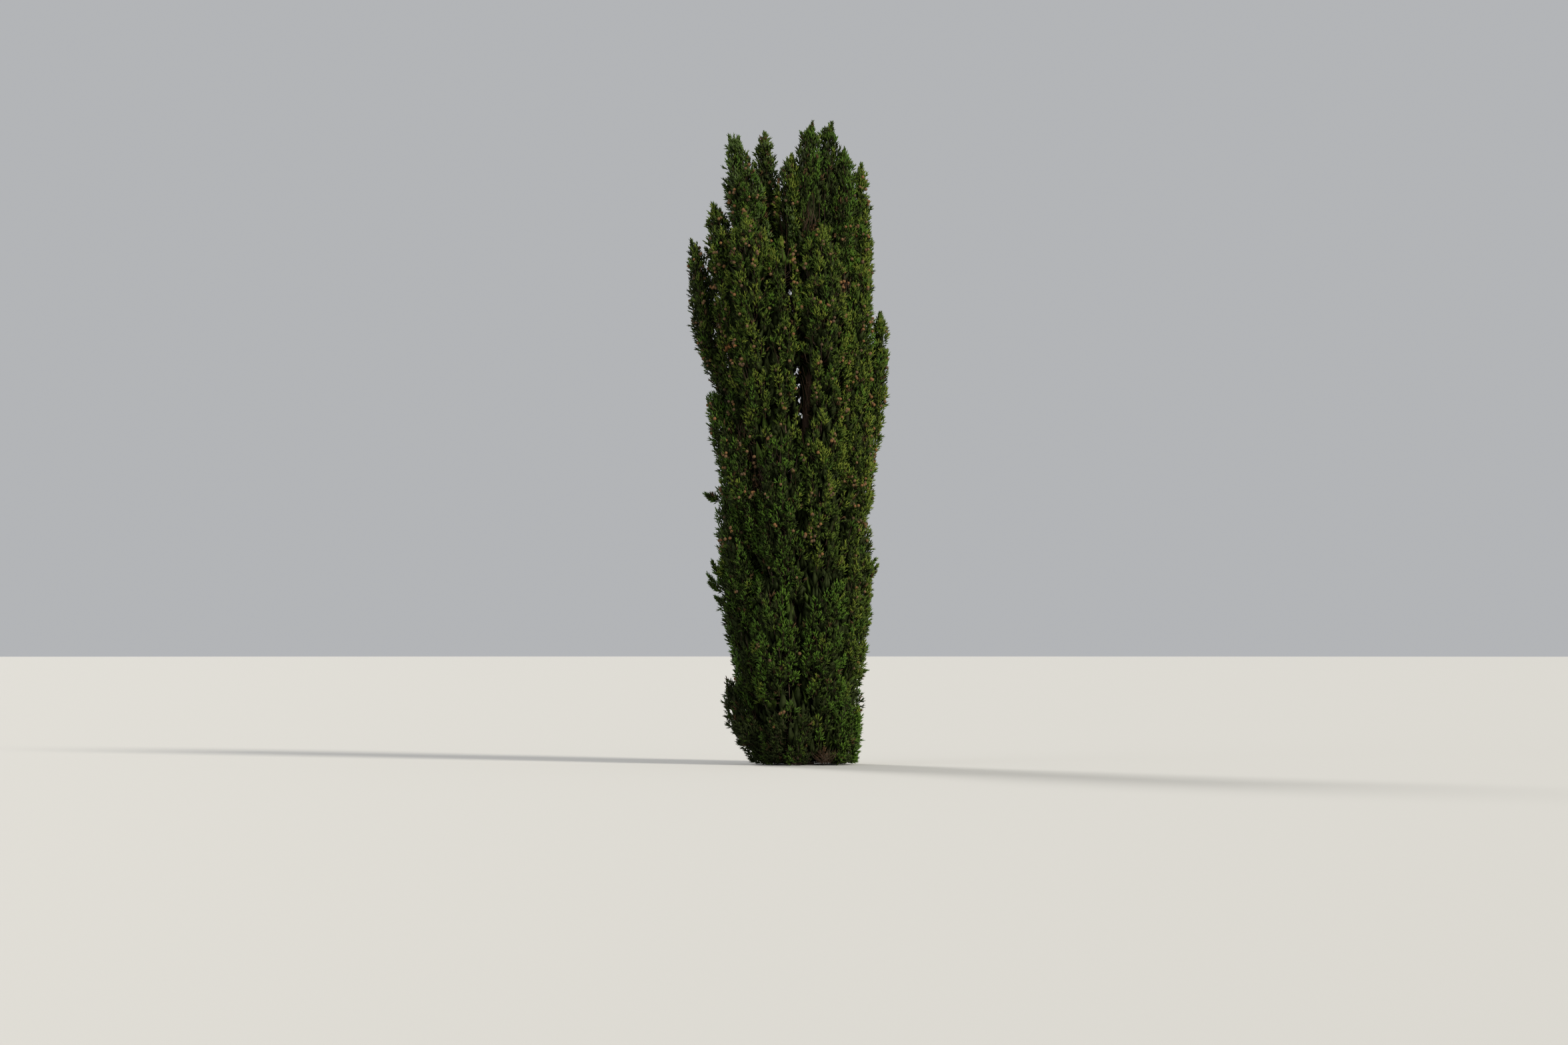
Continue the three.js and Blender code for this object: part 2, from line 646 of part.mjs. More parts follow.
// A twig that stands out of the mass, with two small sprays at its end.
function makeSpur(plume, spur) {
  const tip = vector(spur.tip);
  const level = (knot) => Math.abs(knot.z - (tip.z - spur.rise));
  const root = plume.knots.reduce((best, knot) => (level(knot) < level(best) ? knot : best));
  const out = tip.clone().sub(root);
  const bend = root.clone().addScaledVector(out, SPUR_BEND);
  bend.z -= spur.rise * SPUR_SAG;
  const end = root.clone().addScaledVector(out, SPUR_END);
  const twig = new Limb([root, bend, end], SPUR_RADII, { sides: 3, steps: 2 });
  const front = new THREE.Vector3(0, -1, 0);
  const side = out.clone().applyAxisAngle(front, SPUR_LEAN * Math.sign(out.x)).setLength(SPUR_SPRAY);
  const [sideRoot, endRoot] = SPUR_FORKS.map((share) => twig.curve.getPoint(share));
  return [
    twig.solid(),
    makeSpray(sideRoot, sideRoot.clone().add(side), front),
    makeSpray(endRoot, tip, front),
  ];
}

const group = new THREE.Group();
const bark = new THREE.MeshStandardMaterial({ color: 0x5c4636, roughness: 0.95, metalness: 0 });
const scaleLeaves = new THREE.MeshStandardMaterial({ color: 0x4b6b22, roughness: 0.8, metalness: 0 });

function addMesh(name, solid, material) {
  const mesh = new THREE.Mesh(geometryOf(solid), material);
  mesh.name = name;
  group.add(mesh);
}

// The stem inside a plume, which starts where its bough or the trunk ends. One that has no
// bough is whole from the trunk.
function makeStem(plume) {
  const limb = plume.height ? limbs.get(plume.name) : trunk;
  if (plume.stem) return limb.solid({ to: 1, sides: STEM_SIDES });
  const foot = limb.curve.getPoint(limb.end).addScaledVector(limb.frame(limb.end).along, TOUCHING);
  const head = limb === trunk ? plume.axis.getPoint(TRUNK_STEM) : limb.curve.getPoint(STEM_HEAD);
  const frame = limb.frame(limb.end);
  return ringed(STEM_SIDES, 1, (ring, angle) => {
    const centre = ring === 0 ? foot : head;
    const radius = limb.radii[1] * (ring === 0 ? 1 : STEM_TAPER);
    return angle === null ? centre : roundFrom(centre, frame, angle, radius);
  });
}

// Limbs, each cut clear of those that are there already.
const carriers = [{ name: 'trunk', limb: trunk }];
for (const plume of plumes.filter(({ stem, height }) => height && !stem)) {
  carriers.push({ name: `bough_${plume.name}`, limb: limbs.get(plume.name) });
}
const touching = [];
const sockets = [];
for (const { name, limb } of carriers) {
  addMesh(name, whole(cutClear(limb.solid(), touching)), bark);
  touching.push(limb.solid({ extra: TOUCHING, ends: TOUCHING }));
  sockets.push(limb.solid({ extra: LIMB_SOCKET, ends: LIMB_SOCKET, sides: SOCKET_SIDES }));
}

// Cores next, each cut clear of the limbs, of its neighbours' stems and of the cores before it.
const stemRooms = new Map(plumes.filter(({ stem }) => stem).map((plume) => (
  [plume, limbs.get(plume.name).solid({ to: 1, extra: CORE_GAP, ends: CORE_GAP })])));
const coreRooms = new Map(plumes.map((plume) => [plume, makeCore(plume, CORE_GAP)]));
const othersIn = (rooms, plume) => (
  [...rooms].filter(([owner]) => owner !== plume).map(([, room]) => room));
const cores = plumes.map((plume, number) => {
  const before = plumes.slice(0, number).map((other) => coreRooms.get(other));
  return whole(cutClear(makeCore(plume), [...sockets, ...othersIn(stemRooms, plume), ...before]));
});

// Sprays, cones and spurs last, each skipped where it would meet anything that isn't its own.
const done = [];
plumes.forEach((plume, number) => {
  const obstacles = [
    ...sockets, ...othersIn(stemRooms, plume), ...cores.filter((core, i) => i !== number), ...done,
  ];
  const sprays = makeSprays(plume, obstacles);
  const spurs = SPURS.filter(({ mass }) => mass === plume.name).flatMap((spur) => makeSpur(plume, spur));
  const extras = [...spurs, makeTipSpray(plume), ...makeCones(plume, sprays, obstacles)];
  const kept = extras.filter((solid) => !obstacles.some((obstacle) => meets(solid, obstacle)));
  const joined = wasm.Manifold.union([cores[number], makeStem(plume), ...sprays, ...kept]);
  const foliage = whole(plume.stem ? joined.subtract(touching[0]) : joined);
  done.push(foliage);
  addMesh(`foliage_${plume.name}`, foliage, scaleLeaves);
});

export default group;
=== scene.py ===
# %% [markdown]
# # A pencil cypress, dressed from its trunk to its cones
# A garden cypress of this age is a bundle of upright leaders that fork low down. Each leader
# is wrapped in flame-shaped tufts, each tuft is a handful of sprays, and each spray is a few
# thin shoots in scale leaves. The imported solids give the trunk, the boughs and the room that
# each mass of leaves fills. This lesson puts bark on the limbs and grows the tufts again,
# by the same rule of a golden-angle spiral, down to the single shoot.
#
# The solids come first, as a frame that is never moved, and the leaves are kept within a box
# round the crown.

# %% Load the solids
import math

import bpy
import numpy as np
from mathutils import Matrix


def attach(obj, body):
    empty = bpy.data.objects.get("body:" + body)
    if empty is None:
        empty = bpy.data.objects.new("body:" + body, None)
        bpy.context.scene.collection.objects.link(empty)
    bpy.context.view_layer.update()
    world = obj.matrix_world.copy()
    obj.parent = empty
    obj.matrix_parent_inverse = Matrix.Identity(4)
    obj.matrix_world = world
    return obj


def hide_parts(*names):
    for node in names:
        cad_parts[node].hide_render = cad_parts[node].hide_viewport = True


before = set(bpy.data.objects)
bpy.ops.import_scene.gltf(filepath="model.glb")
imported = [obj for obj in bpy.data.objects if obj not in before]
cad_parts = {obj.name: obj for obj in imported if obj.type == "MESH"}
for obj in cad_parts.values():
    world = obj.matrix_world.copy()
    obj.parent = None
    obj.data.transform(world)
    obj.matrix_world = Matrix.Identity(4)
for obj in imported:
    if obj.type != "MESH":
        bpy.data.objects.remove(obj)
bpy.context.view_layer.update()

# %% [markdown]
# The camera stands where the photographer stood, a long way off with a long lens, so that the
# tree is seen nearly square on. One pixel of the photograph is 6.45 mm of the tree, and from
# that and the distance comes the lens. The camera is then turned by the two small angles that
# bring the foot of the trunk to its pixel.

# %% Place the camera
PHOTO_SIZE = (2352, 1568)
FOOT_PIXEL = (1200, 1147)
METRES_A_PIXEL = 0.00645
DISTANCE = 45.0
CAMERA_HEIGHT = 1.2
SENSOR = 36.0
CAMERA_SEES = 1000

focal = DISTANCE / METRES_A_PIXEL
bpy.ops.object.camera_add(location=(0, -DISTANCE, CAMERA_HEIGHT))
camera = bpy.context.object
camera.name = "photo_camera"
camera.data.sensor_width = SENSOR
camera.data.lens = focal * SENSOR / PHOTO_SIZE[0]
camera.data.clip_end = CAMERA_SEES
foot_below = math.atan((FOOT_PIXEL[1] - PHOTO_SIZE[1] / 2) / focal)
pitch = foot_below - math.atan(CAMERA_HEIGHT / DISTANCE)
yaw = math.atan((FOOT_PIXEL[0] - PHOTO_SIZE[0] / 2) / focal)
camera.rotation_euler = (math.pi / 2 + pitch, 0, yaw)
bpy.context.scene.camera = camera
print("lens", round(camera.data.lens, 1), "mm, pitch", round(math.degrees(pitch), 2))

# %% [markdown]
# The floor is a plain pale disc, wide enough to reach the horizon from any side. It is stage,
# not part of the tree.

# %% Lay the floor
FLOOR_RADIUS = 300
FLOOR_SIDES = 96
FLOOR_COLOUR = (0.44, 0.44, 0.43, 1)
FLOOR_ROUGHNESS = 0.9

bpy.ops.mesh.primitive_circle_add(vertices=FLOOR_SIDES, radius=FLOOR_RADIUS, fill_type="NGON")
floor = bpy.context.object
floor.name = "stage_floor"
paint = bpy.data.materials.new("floor_paint")
paint.use_nodes = True
shader = paint.node_tree.nodes["Principled BSDF"]
shader.inputs["Base Color"].default_value = FLOOR_COLOUR
shader.inputs["Roughness"].default_value = FLOOR_ROUGHNESS
floor.data.materials.append(paint)
print("floor", floor.name, "radius", FLOOR_RADIUS)

# %% [markdown]
# The light is that of a studio: a strong soft lamp high on the right, the side that is lit in
# the photograph, a weak one on the left, one behind for the views from the back, and a pale
# room all round. A tree of six metres is too tall for a lamp near by, which would burn out the
# floor beside it, so each lamp is a sun lamp, as even as one that hangs very far off. The
# angle of the lamp makes its shadows soft.

# %% Hang the lights
ROOM_LIGHT = (0.90, 0.92, 0.95, 1)
ROOM_STRENGTH = 0.50
LAMPS = [
    dict(name="key_light", place=(13, -11, 11), soft=12, power=3.9, colour=(1, 0.94, 0.82)),
    dict(name="fill_light", place=(-14, -12, 5), soft=40, power=0.35, colour=(0.9, 0.95, 1)),
    dict(name="back_light", place=(-9, 15, 11), soft=16, power=2.2, colour=(1, 0.96, 0.9)),
]


def hang_lamp(name, place, soft, power, colour):
    bpy.ops.object.light_add(type="SUN", location=place)
    lamp = bpy.context.object
    lamp.name = name
    lamp.data.angle = math.radians(soft)
    lamp.data.energy = power
    lamp.data.color = colour
    tilt = math.atan2(math.hypot(place[0], place[1]), place[2])
    lamp.rotation_euler = (tilt, 0, math.atan2(place[1], place[0]) + math.pi / 2)
    return lamp


for lamp_row in LAMPS:
    hang_lamp(**lamp_row)
world = bpy.data.worlds.new("studio_room")
world.use_nodes = True
world.node_tree.nodes["Background"].inputs["Color"].default_value = ROOM_LIGHT
world.node_tree.nodes["Background"].inputs["Strength"].default_value = ROOM_STRENGTH
bpy.context.scene.world = world
bpy.context.scene.view_settings.view_transform = "Standard"
print("lamps", [row["name"] for row in LAMPS])

# %% [markdown]
# The source gives sizes in millimetres, and the same names and numbers are kept here so that
# the two can be laid side by side. Only the finished points are turned into metres. The trunk
# is a row of points from its foot to its fork, and each mass of leaves is a plume: an axis that
# bends from its foot to its tip, with a girth round it.

# %% Sizes of the limbs
MM = 0.001
TRUNK_PATH = [
    (0, 0, 0), (0, 0, 500), (25, 0, 1700), (70, 5, 3500), (190, 30, 4600), (256, 46, 5480),
]
TRUNK_FOOT_RADIUS = 84
TRUNK_TIP_RADIUS = 7
TRUNK_FLARE = 46
FLARE_HEIGHT = 130
ROOT_LOBES = 5
LOBE_DEPTH = 0.16
BOUGH_ENTRY = 0.1
STEM_ENTRY = 0.34
LIMB_TAPER = 0.45
LIMB_RISE = 0.4
LIMB_APPROACH = 0.12
print("trunk of", TRUNK_PATH[-1][2], "mm")

# %% Sizes of the masses
# girth is how far the mass reaches from its axis, broad how much further it does to the front
# and back, widest the share of the axis where it is fullest, heel the share of its girth at its
# foot, and a small blunt makes a round tip. The limb carries its bough, which leaves it at this
# height, this thick, and goes by way of a point if it isn't straight.
PLUME_COLUMNS = ("name", "girth", "broad", "widest", "heel", "blunt", "foot", "bend", "tip",
                 "limb", "height", "thick", "via")
PLUME_ROWS = [
    # Leaders at the top.
    ("left_leader", 180, 1.3, 0.55, 0.85, 0.5,
     (-320, -40, 4050), (-485, -60, 5250), (-640, -60, 6075), "trunk", 900, 46, (-170, -20, 2500)),
    ("second_leader", 128, 1.2, 0.45, 0.9, 0.65,
     (-260, 110, 4350), (-335, 130, 5350), (-345, 120, 6118), "left_leader", 2900, 22),
    ("centre_tip", 132, 1.2, 0.45, 0.9, 0.6,
     (-40, -60, 4400), (-118, -80, 5250), (-90, -60, 5890), "trunk", 3950, 15),
    ("right_twin", 165, 1.4, 0.6, 0.9, 0.45,
     (70, -50, 4150), (55, -60, 5300), (110, -30, 6195), "trunk", 3700, 20),
    ("right_leader", 190, 1.4, 0.5, 0.85, 0.55,
     (190, 40, 4050), (250, 60, 5250), (285, 30, 6205), "trunk"),
    ("right_shoulder", 148, 1.6, 0.5, 0.85, 0.6,
     (360, 0, 4250), (420, 0, 5250), (430, 0, 5950), "trunk", 3300, 18),
    ("far_right_leader", 125, 1.8, 0.35, 0.8, 0.8,
     (485, 40, 3550), (590, 60, 4700), (578, 40, 5805), "trunk", 1500, 32, (190, 40, 2400)),
    # Left side.
    ("left_flank", 212, 1.7, 0.45, 0.8, 0.55,
     (-570, -60, 3150), (-595, -60, 4450), (-830, -60, 5420), "left_leader", 2000, 22),
    ("left_front", 285, 0.9, 0.45, 0.7, 0.7,
     (-330, -230, 3150), (-430, -360, 4250), (-520, -300, 5300), "left_leader", 2300, 20),
    ("centre_column", 235, 1, 0.45, 0.7, 0.7,
     (-140, -250, 3100), (-150, -380, 4150), (-190, -320, 5080), "trunk", 2350, 18),
    ("left_outlier", 100, 1.4, 0.45, 0.6, 0.5,
     (-800, -40, 3800), (-945, -40, 4250), (-1020, -40, 5075),
     "left_leader", 1650, 18, (-560, 60, 2950)),
    ("left_mid", 190, 1.6, 0.35, 0.85, 0.7,
     (-390, -160, 2150), (-560, -180, 2850), (-870, -140, 3600), "trunk", 1350, 18),
    ("left_low", 195, 1.8, 0.45, 0.8, 0.7,
     (-370, -60, 1050), (-605, -80, 1850), (-690, -60, 2950), "trunk", 620, 18),
    ("left_lower", 195, 1.8, 0.3, 0.9, 0.8,
     (-340, -60, 480), (-450, -80, 1150), (-785, -60, 1950), "trunk", 360, 14),
    ("foot_left", 172, 1.8, 0.4, 0.95, 0.6,
     (-290, -60, 130), (-520, -60, 330), (-710, -60, 850), "trunk", 130, 14),
    # Right side.
    ("right_outlier", 92, 1.5, 0.5, 0.6, 0.6,
     (640, -20, 2950), (742, -20, 3700), (780, -20, 4345), "far_right_leader", 2250, 14),
    ("right_flank", 200, 1.2, 0.45, 0.7, 0.7,
     (400, -150, 2800), (510, -170, 3900), (560, -120, 4900), "trunk", 2050, 18),
    ("right_mid", 222, 1.9, 0.45, 0.75, 0.7,
     (370, -60, 1850), (495, -60, 2700), (610, -40, 3750), "trunk", 1250, 18),
    ("right_low", 225, 2.0, 0.4, 0.9, 0.7,
     (320, -40, 450), (455, -60, 1450), (585, -40, 2650), "trunk", 380, 14),
    ("foot_right", 222, 2.0, 0.2, 0.98, 0.8,
     (325, -40, 110), (400, -40, 500), (455, -40, 1450), "trunk", 150, 14),
    # Front.
    ("low_front_left", 310, 0.85, 0.45, 0.75, 0.7,
     (-130, -220, 420), (-200, -420, 1100), (-280, -330, 1950), "trunk", 330, 14),
    ("low_front_right", 300, 0.85, 0.45, 0.75, 0.7,
     (160, -210, 260), (210, -400, 1100), (220, -320, 2150), "trunk", 240, 14),
    ("foot_front", 310, 0.8, 0.3, 0.9, 0.7,
     (-70, -240, 110), (-80, -430, 350), (-120, -380, 1000), "trunk", 110, 14),
    ("mid_front_left", 300, 0.85, 0.45, 0.75, 0.7,
     (-90, -240, 1550), (-165, -410, 2500), (-215, -330, 3450), "trunk", 1050, 18),
    ("mid_front_right", 290, 0.85, 0.45, 0.75, 0.7,
     (165, -230, 1600), (190, -400, 2700), (195, -330, 3650), "trunk", 1150, 18),
    ("right_front", 270, 0.9, 0.45, 0.75, 0.7,
     (190, -240, 3200), (215, -400, 4200), (205, -300, 5200), "trunk", 2550, 18),
    # Back.
    ("low_back_left", 330, 0.85, 0.4, 0.8, 0.7,
     (-160, 220, 110), (-280, 420, 1100), (-300, 330, 2100), "trunk", 170, 14),
    ("low_back_right", 320, 0.85, 0.4, 0.8, 0.7,
     (180, 220, 110), (260, 420, 1000), (280, 330, 2100), "trunk", 210, 14),
    ("mid_back_left", 330, 0.85, 0.45, 0.75, 0.7,
     (-110, 240, 1600), (-190, 430, 2700), (-260, 330, 3800), "trunk", 1000, 18),
    ("mid_back_right", 320, 0.85, 0.45, 0.75, 0.7,
     (215, 240, 1600), (300, 430, 2700), (330, 330, 3800), "trunk", 1100, 18),
    ("high_back_left", 300, 0.9, 0.45, 0.75, 0.7,
     (-220, 220, 3200), (-320, 370, 4300), (-390, 270, 5520), "left_leader", 2450, 18),
    ("high_back_right", 305, 0.9, 0.45, 0.75, 0.7,
     (240, 220, 3200), (300, 380, 4300), (270, 280, 5640), "trunk", 2450, 20),
]
PLUMES = [dict(zip(PLUME_COLUMNS, row)) for row in PLUME_ROWS]
print("plumes", len(PLUMES))

# %% [markdown]
# The crown is no even wall. A parting runs down its front, with narrow slits that light comes
# through, and at mid height it widens to a window that shows the trunk. There are three small
# gaps on the left. Between the branches lie hollows with bare twigs at their back and smaller
# dark pockets, and one spray near the left edge and a patch at the foot are dry. All of them
# are read off the photograph as places across and up. They could be cut out of the finished
# leaves, but that would leave cut leaves, so nothing is grown there in the first place.

# %% Where the crown is open
# A slit is its lower end, its upper end and half its width. A spot is its middle across and
# up, half its width and half its height. The window is left, right, lower end and upper end.
PARTING_TOP = (-193, 5721)
PARTING_FOOT = (32, 3141)
PARTING_OPEN = [(3141, 3950), (4350, 5721)]
PARTING_HALF_WIDTH = 20
PARTING_DEPTH = -60
PARTING_STRAIGHT = 4000
SLITS = [(4880, 4960, 3), (4370, 4625, 5), (3367, 3915, 4)]
GAPS = [(-787, 4547, 5, 16), (-819, 4173, 6, 20), (-690, 3902, 5, 16)]
TRUNK_WINDOW = (2, 98, 3244, 3941)
TRUNK_HOLLOW = (52, 3600, 38, 260)
HOLLOWS = [
    (110, 5275, 76, 160), (435, 4630, 52, 120), (-260, 3950, 68, 120), (-445, 2990, 60, 110),
    (-425, 2770, 52, 150), (-555, 3225, 34, 110),
]
POCKETS = [
    (-510, 4930, 74, 66), (65, 4715, 64, 60), (-180, 5200, 38, 110), (138, 4052, 58, 56),
    (-518, 3767, 44, 88), (-660, 2108, 50, 120), (-390, 505, 84, 100), (-536, 1209, 50, 76),
    (473, 1693, 48, 74), (217, 5479, 28, 90), (-230, 4252, 52, 62), (-99, 2765, 38, 60),
    (-724, 3575, 28, 76), (320, 5063, 30, 76), (0, 1902, 44, 46), (293, 2304, 32, 78),
    (-226, 2963, 56, 58), (-300, 1723, 46, 46),
]
DEAD_SPRAY = (-668, 4014, 60, 20)
DRY_FOOT = (245, 120, 75, 75)
print("openings", len(SLITS) + len(GAPS) + 1, "hollows and pockets", len(HOLLOWS + POCKETS))

# %% The twigs that stand out of the outline
# A spur is the mass that it grows from, where its tip is, and how far below its tip it starts.
SPURS = [
    ("left_leader", (-690, -60, 6085), 230),
    ("left_leader", (-600, -60, 6075), 260),
    ("second_leader", (-345, 120, 6125), 200),
    ("centre_tip", (-80, -60, 5895), 200),
    ("right_twin", (122, -30, 6215), 230),
    ("right_twin", (8, -40, 6115), 200),
    ("right_leader", (312, 30, 6220), 240),
    ("right_shoulder", (430, 0, 5965), 200),
    ("far_right_leader", (596, 40, 5820), 200),
    ("left_outlier", (-1056, -40, 5070), 200),
    ("right_outlier", (777, -20, 4362), 170),
    ("left_flank", (-852, -60, 5418), 190),
    ("left_flank", (-898, -80, 5235), 150),
    ("left_flank", (-925, -60, 4985), 130),
    ("left_leader", (-752, -70, 5600), 130),
    ("left_low", (-915, -60, 3585), 200),
    ("left_mid", (-868, -150, 3200), 120),
    ("left_mid", (-800, -200, 3010), 90),
    ("left_low", (-925, -80, 2600), 30),
    ("left_low", (-890, -60, 2560), 40),
    ("left_lower", (-862, -100, 1960), 210),
    ("left_lower", (-905, -80, 1830), 170),
    ("left_lower", (-885, -60, 1745), 120),
    ("left_lower", (-830, -90, 1612), 100),
    ("left_lower", (-730, -260, 1540), 190),
    ("right_low", (775, -60, 1930), 190),
    ("right_low", (745, -30, 1975), 170),
    ("right_low", (752, -90, 1860), 130),
    ("right_low", (700, -70, 1622), 90),
    ("right_low", (690, -60, 1352), 60),
    ("right_low", (648, -60, 895), 60),
    ("right_outlier", (832, -30, 3900), 120),
    ("right_outlier", (840, -40, 3990), 90),
    ("far_right_leader", (668, 30, 5125), 90),
    ("far_right_leader", (690, 20, 4720), 110),
]
print("spurs", len(SPURS))

# %% [markdown]
# A limb's middle line is a smooth curve through a few points, the same kind that the source
# uses. At each place on it there are three directions: across, along and the third. Numbers
# for many places are worked out at once as arrays, which is what keeps a tree of more than a
# million faces quick to grow.

# %% Curves and directions
def unit(vectors):
    return vectors / np.linalg.norm(vectors, axis=-1, keepdims=True)


def spline(points, t):
    """Points at the shares t of a centripetal curve through the given points."""
    p = np.asarray(points, float)
    p = np.vstack([2 * p[0] - p[1], p, 2 * p[-1] - p[-2]])
    spans = len(points) - 1
    place = np.clip(np.asarray(t, float), 0, 1) * spans
    i = np.minimum(place.astype(int), spans - 1)
    w = (place - i)[:, None]
    p0, p1, p2, p3 = p[i], p[i + 1], p[i + 2], p[i + 3]
    d0, d1, d2 = (np.sqrt(np.linalg.norm(b - a, axis=1))[:, None] for a, b in
                  ((p0, p1), (p1, p2), (p2, p3)))
    start = ((p1 - p0) / d0 - (p2 - p0) / (d0 + d1) + (p2 - p1) / d1) * d1
    end = ((p2 - p1) / d1 - (p3 - p1) / (d1 + d2) + (p3 - p2) / d2) * d1
    cubic = 2 * p1 - 2 * p2 + start + end
    square = -3 * p1 + 3 * p2 - 2 * start - end
    return p1 + start * w + square * w ** 2 + cubic * w ** 3


def level_across(heading):
    """A level direction across the way that a limb or a mass leans, in millimetres."""
    flat = np.array([heading[0], heading[1], 0.0])
    if np.linalg.norm(flat) < 1:
        return np.array([1.0, 0, 0])
    return unit(np.cross([0, 0, 1], flat))


def frames(along, reference):
    """The two directions square to each way along, the first of them towards the reference."""
    across = unit(reference - along * (along @ reference)[:, None])
    return across, np.cross(across, along)


print("middle of the trunk", spline(TRUNK_PATH, [0.5]).round(1))

# %% [markdown]
# A plume is a curve from foot to tip with a girth that swells and closes again, like a candle
# flame. Masses that stand on one another are given fuller feet and blunter tips than the solids
# have, so that no waist shows between the tiers, and the leaders are given sharper tips.

# %% The plumes as curves
MEAN_GIRTH = 0.75
STACKED = ("low_", "mid_", "high_", "left_front", "right_front", "centre_column")
STACKED_HEEL = 1.0
STACKED_BLUNT = 0.45
POINTED = ("left_leader", "right_leader", "right_shoulder", "left_flank", "right_twin",
           "right_outlier")
POINTED_BLUNT = 0.2
GOLDEN_ANGLE = math.pi * (3 - math.sqrt(5))
AXIS_KNOTS = 20


class Plume:
    """A mass's axis, its reach at each place on it, and points round it."""

    def __init__(self, row):
        self.row = row
        self.name = row["name"]
        self.foot, self.bend, self.tip = (np.array(row[key], float)
                                          for key in ("foot", "bend", "tip"))
        self.reference = level_across(self.tip - self.foot)
        self.widest, self.heel, self.blunt = row["widest"], row["heel"], row["blunt"]
        if self.name.startswith(STACKED):
            self.heel, self.blunt = STACKED_HEEL, STACKED_BLUNT
        if self.name in POINTED:
            self.blunt += POINTED_BLUNT
        knots = self.centre(np.linspace(0, 1, AXIS_KNOTS + 1))
        self.length = np.linalg.norm(np.diff(knots, axis=0), axis=1).sum()
        self.flat_knots = knots / [1, row["broad"], 1]

    def centre(self, t):
        t = np.asarray(t, float)[:, None]
        return self.foot * (1 - t) ** 2 + self.bend * 2 * t * (1 - t) + self.tip * t ** 2

    def along(self, t):
        t = np.asarray(t, float)[:, None]
        return unit((self.bend - self.foot) * (1 - t) + (self.tip - self.bend) * t)

    def reach(self, t):
        widest, heel = self.widest, self.heel
        quarter = math.pi / 2
        below = heel + (1 - heel) * np.sin(quarter * np.clip(t, 0, widest) / widest)
        past = np.clip((t - widest) / (1 - widest), 0, 1)
        above = np.maximum(0, np.cos(quarter * past)) ** self.blunt
        return self.row["girth"] * np.where(t < widest, below, above)

    def place(self, t, angle, radius):
        across, third = frames(self.along(t), self.reference)
        offset = across * (np.cos(angle) * radius)[:, None]
        offset = offset + third * (np.sin(angle) * radius)[:, None]
        return self.centre(t) + offset * [1, self.row["broad"], 1]

    def excess(self, points):
        """How far each point lies outside the plume, or inside it where below nought."""
        flat = points / [1, self.row["broad"], 1]
        best = np.full(len(points), np.inf)
        for i in range(AXIS_KNOTS):
            start = self.flat_knots[i]
            run = self.flat_knots[i + 1] - start
            share = np.clip((flat - start) @ run / (run @ run), 0, 1)
            gap = np.linalg.norm(flat - start - share[:, None] * run, axis=1)
            best = np.minimum(best, gap - self.reach((i + share) / AXIS_KNOTS))
        return best


plumes = [Plume(row) for row in PLUMES]
number_of = {plume.name: i for i, plume in enumerate(plumes)}
print("axes in all", round(sum(plume.length for plume in plumes) * MM, 1), "m")

# %% [markdown]
# Tests on points say where leaves may grow. One is for the parting, its slits, the gaps and the
# window before the trunk. The parting wanders and changes in width by slow waves, and quick
# waves break the slits, because a straight clean edge would look sawn. Other tests are for the
# hollows, for how far out the crown may reach, and for how deep a point lies in other masses.

# %% Where leaves may grow
PARTING_WANDER = 11
WANDER_RUN = 150
WIDTH_SHARES = (0.85, 0.5)
WIDTH_RUN = 210
WIDTH_PHASE = 3.8
SLIT_WAVE = 24
QUICK_WAVE = 2.3
QUICK_SHARE = 0.7
QUICK_SLANT = 8
WAVE_CLOSED = -0.5
SLIT_MARGIN = 0.55
CROWN_LEFT_FRONT = (-1118, -624)
CROWN_RIGHT_BACK = (888, 668)
IN_THE_PARTING = (-100.0, -200.0, 4600.0)


def in_spot(points, spot, margin=0):
    x, z, half_width, half_height = spot
    across = (points[:, 0] - x) / (half_width + margin)
    return across ** 2 + ((points[:, 2] - z) / (half_height + margin)) ** 2 < 1


def in_opening(points, margin=0):
    """Whether something as wide to each side as the margin would stand in an opening."""
    x, y, z = points.T
    foot_x, foot_z = PARTING_FOOT
    top_x, top_z = PARTING_TOP
    middle = foot_x + (z - foot_z) * (top_x - foot_x) / (top_z - foot_z)
    above = np.maximum(z - PARTING_STRAIGHT, 0)
    middle = middle + PARTING_WANDER * np.sin(above / WANDER_RUN)
    least, swell = WIDTH_SHARES
    half_width = PARTING_HALF_WIDTH * (least + swell * np.sin(z / WIDTH_RUN + WIDTH_PHASE))
    offset = np.abs(x - middle)
    quick = QUICK_SHARE * np.sin(z / SLIT_WAVE * QUICK_WAVE + x / QUICK_SLANT)
    broken = np.sin(z / SLIT_WAVE) + quick > WAVE_CLOSED
    slits = [(z > low) & (z < high) & (offset < half + margin * SLIT_MARGIN) & broken
             for low, high, half in SLITS]
    gaps = [in_spot(points, gap, margin) for gap in GAPS]
    apart = np.any([(z > low) & (z < high) for low, high in PARTING_OPEN], axis=0)
    parting = apart & (offset < half_width)
    left, right, low, high = TRUNK_WINDOW
    window = (z > low) & (z < high) & (x > left) & (x < right)
    through = np.any(slits + gaps, axis=0)
    return through | ((parting | window) & (y < PARTING_DEPTH))


def in_reach(points):
    """Whether each point stands within the crown's box, seen from above."""
    flat = points[:, :2]
    return ((flat > CROWN_LEFT_FRONT) & (flat < CROWN_RIGHT_BACK)).all(axis=1)


def in_hollow(points, spots):
    """Whether each point stands in one of these spots in the front of the crown."""
    return np.any([in_spot(points, spot) for spot in spots], axis=0) & (points[:, 1] < 0)


def excess_of_all(points):
    return np.array([plume.excess(points) for plume in plumes])


print("the parting is open", in_opening(np.array([IN_THE_PARTING])))

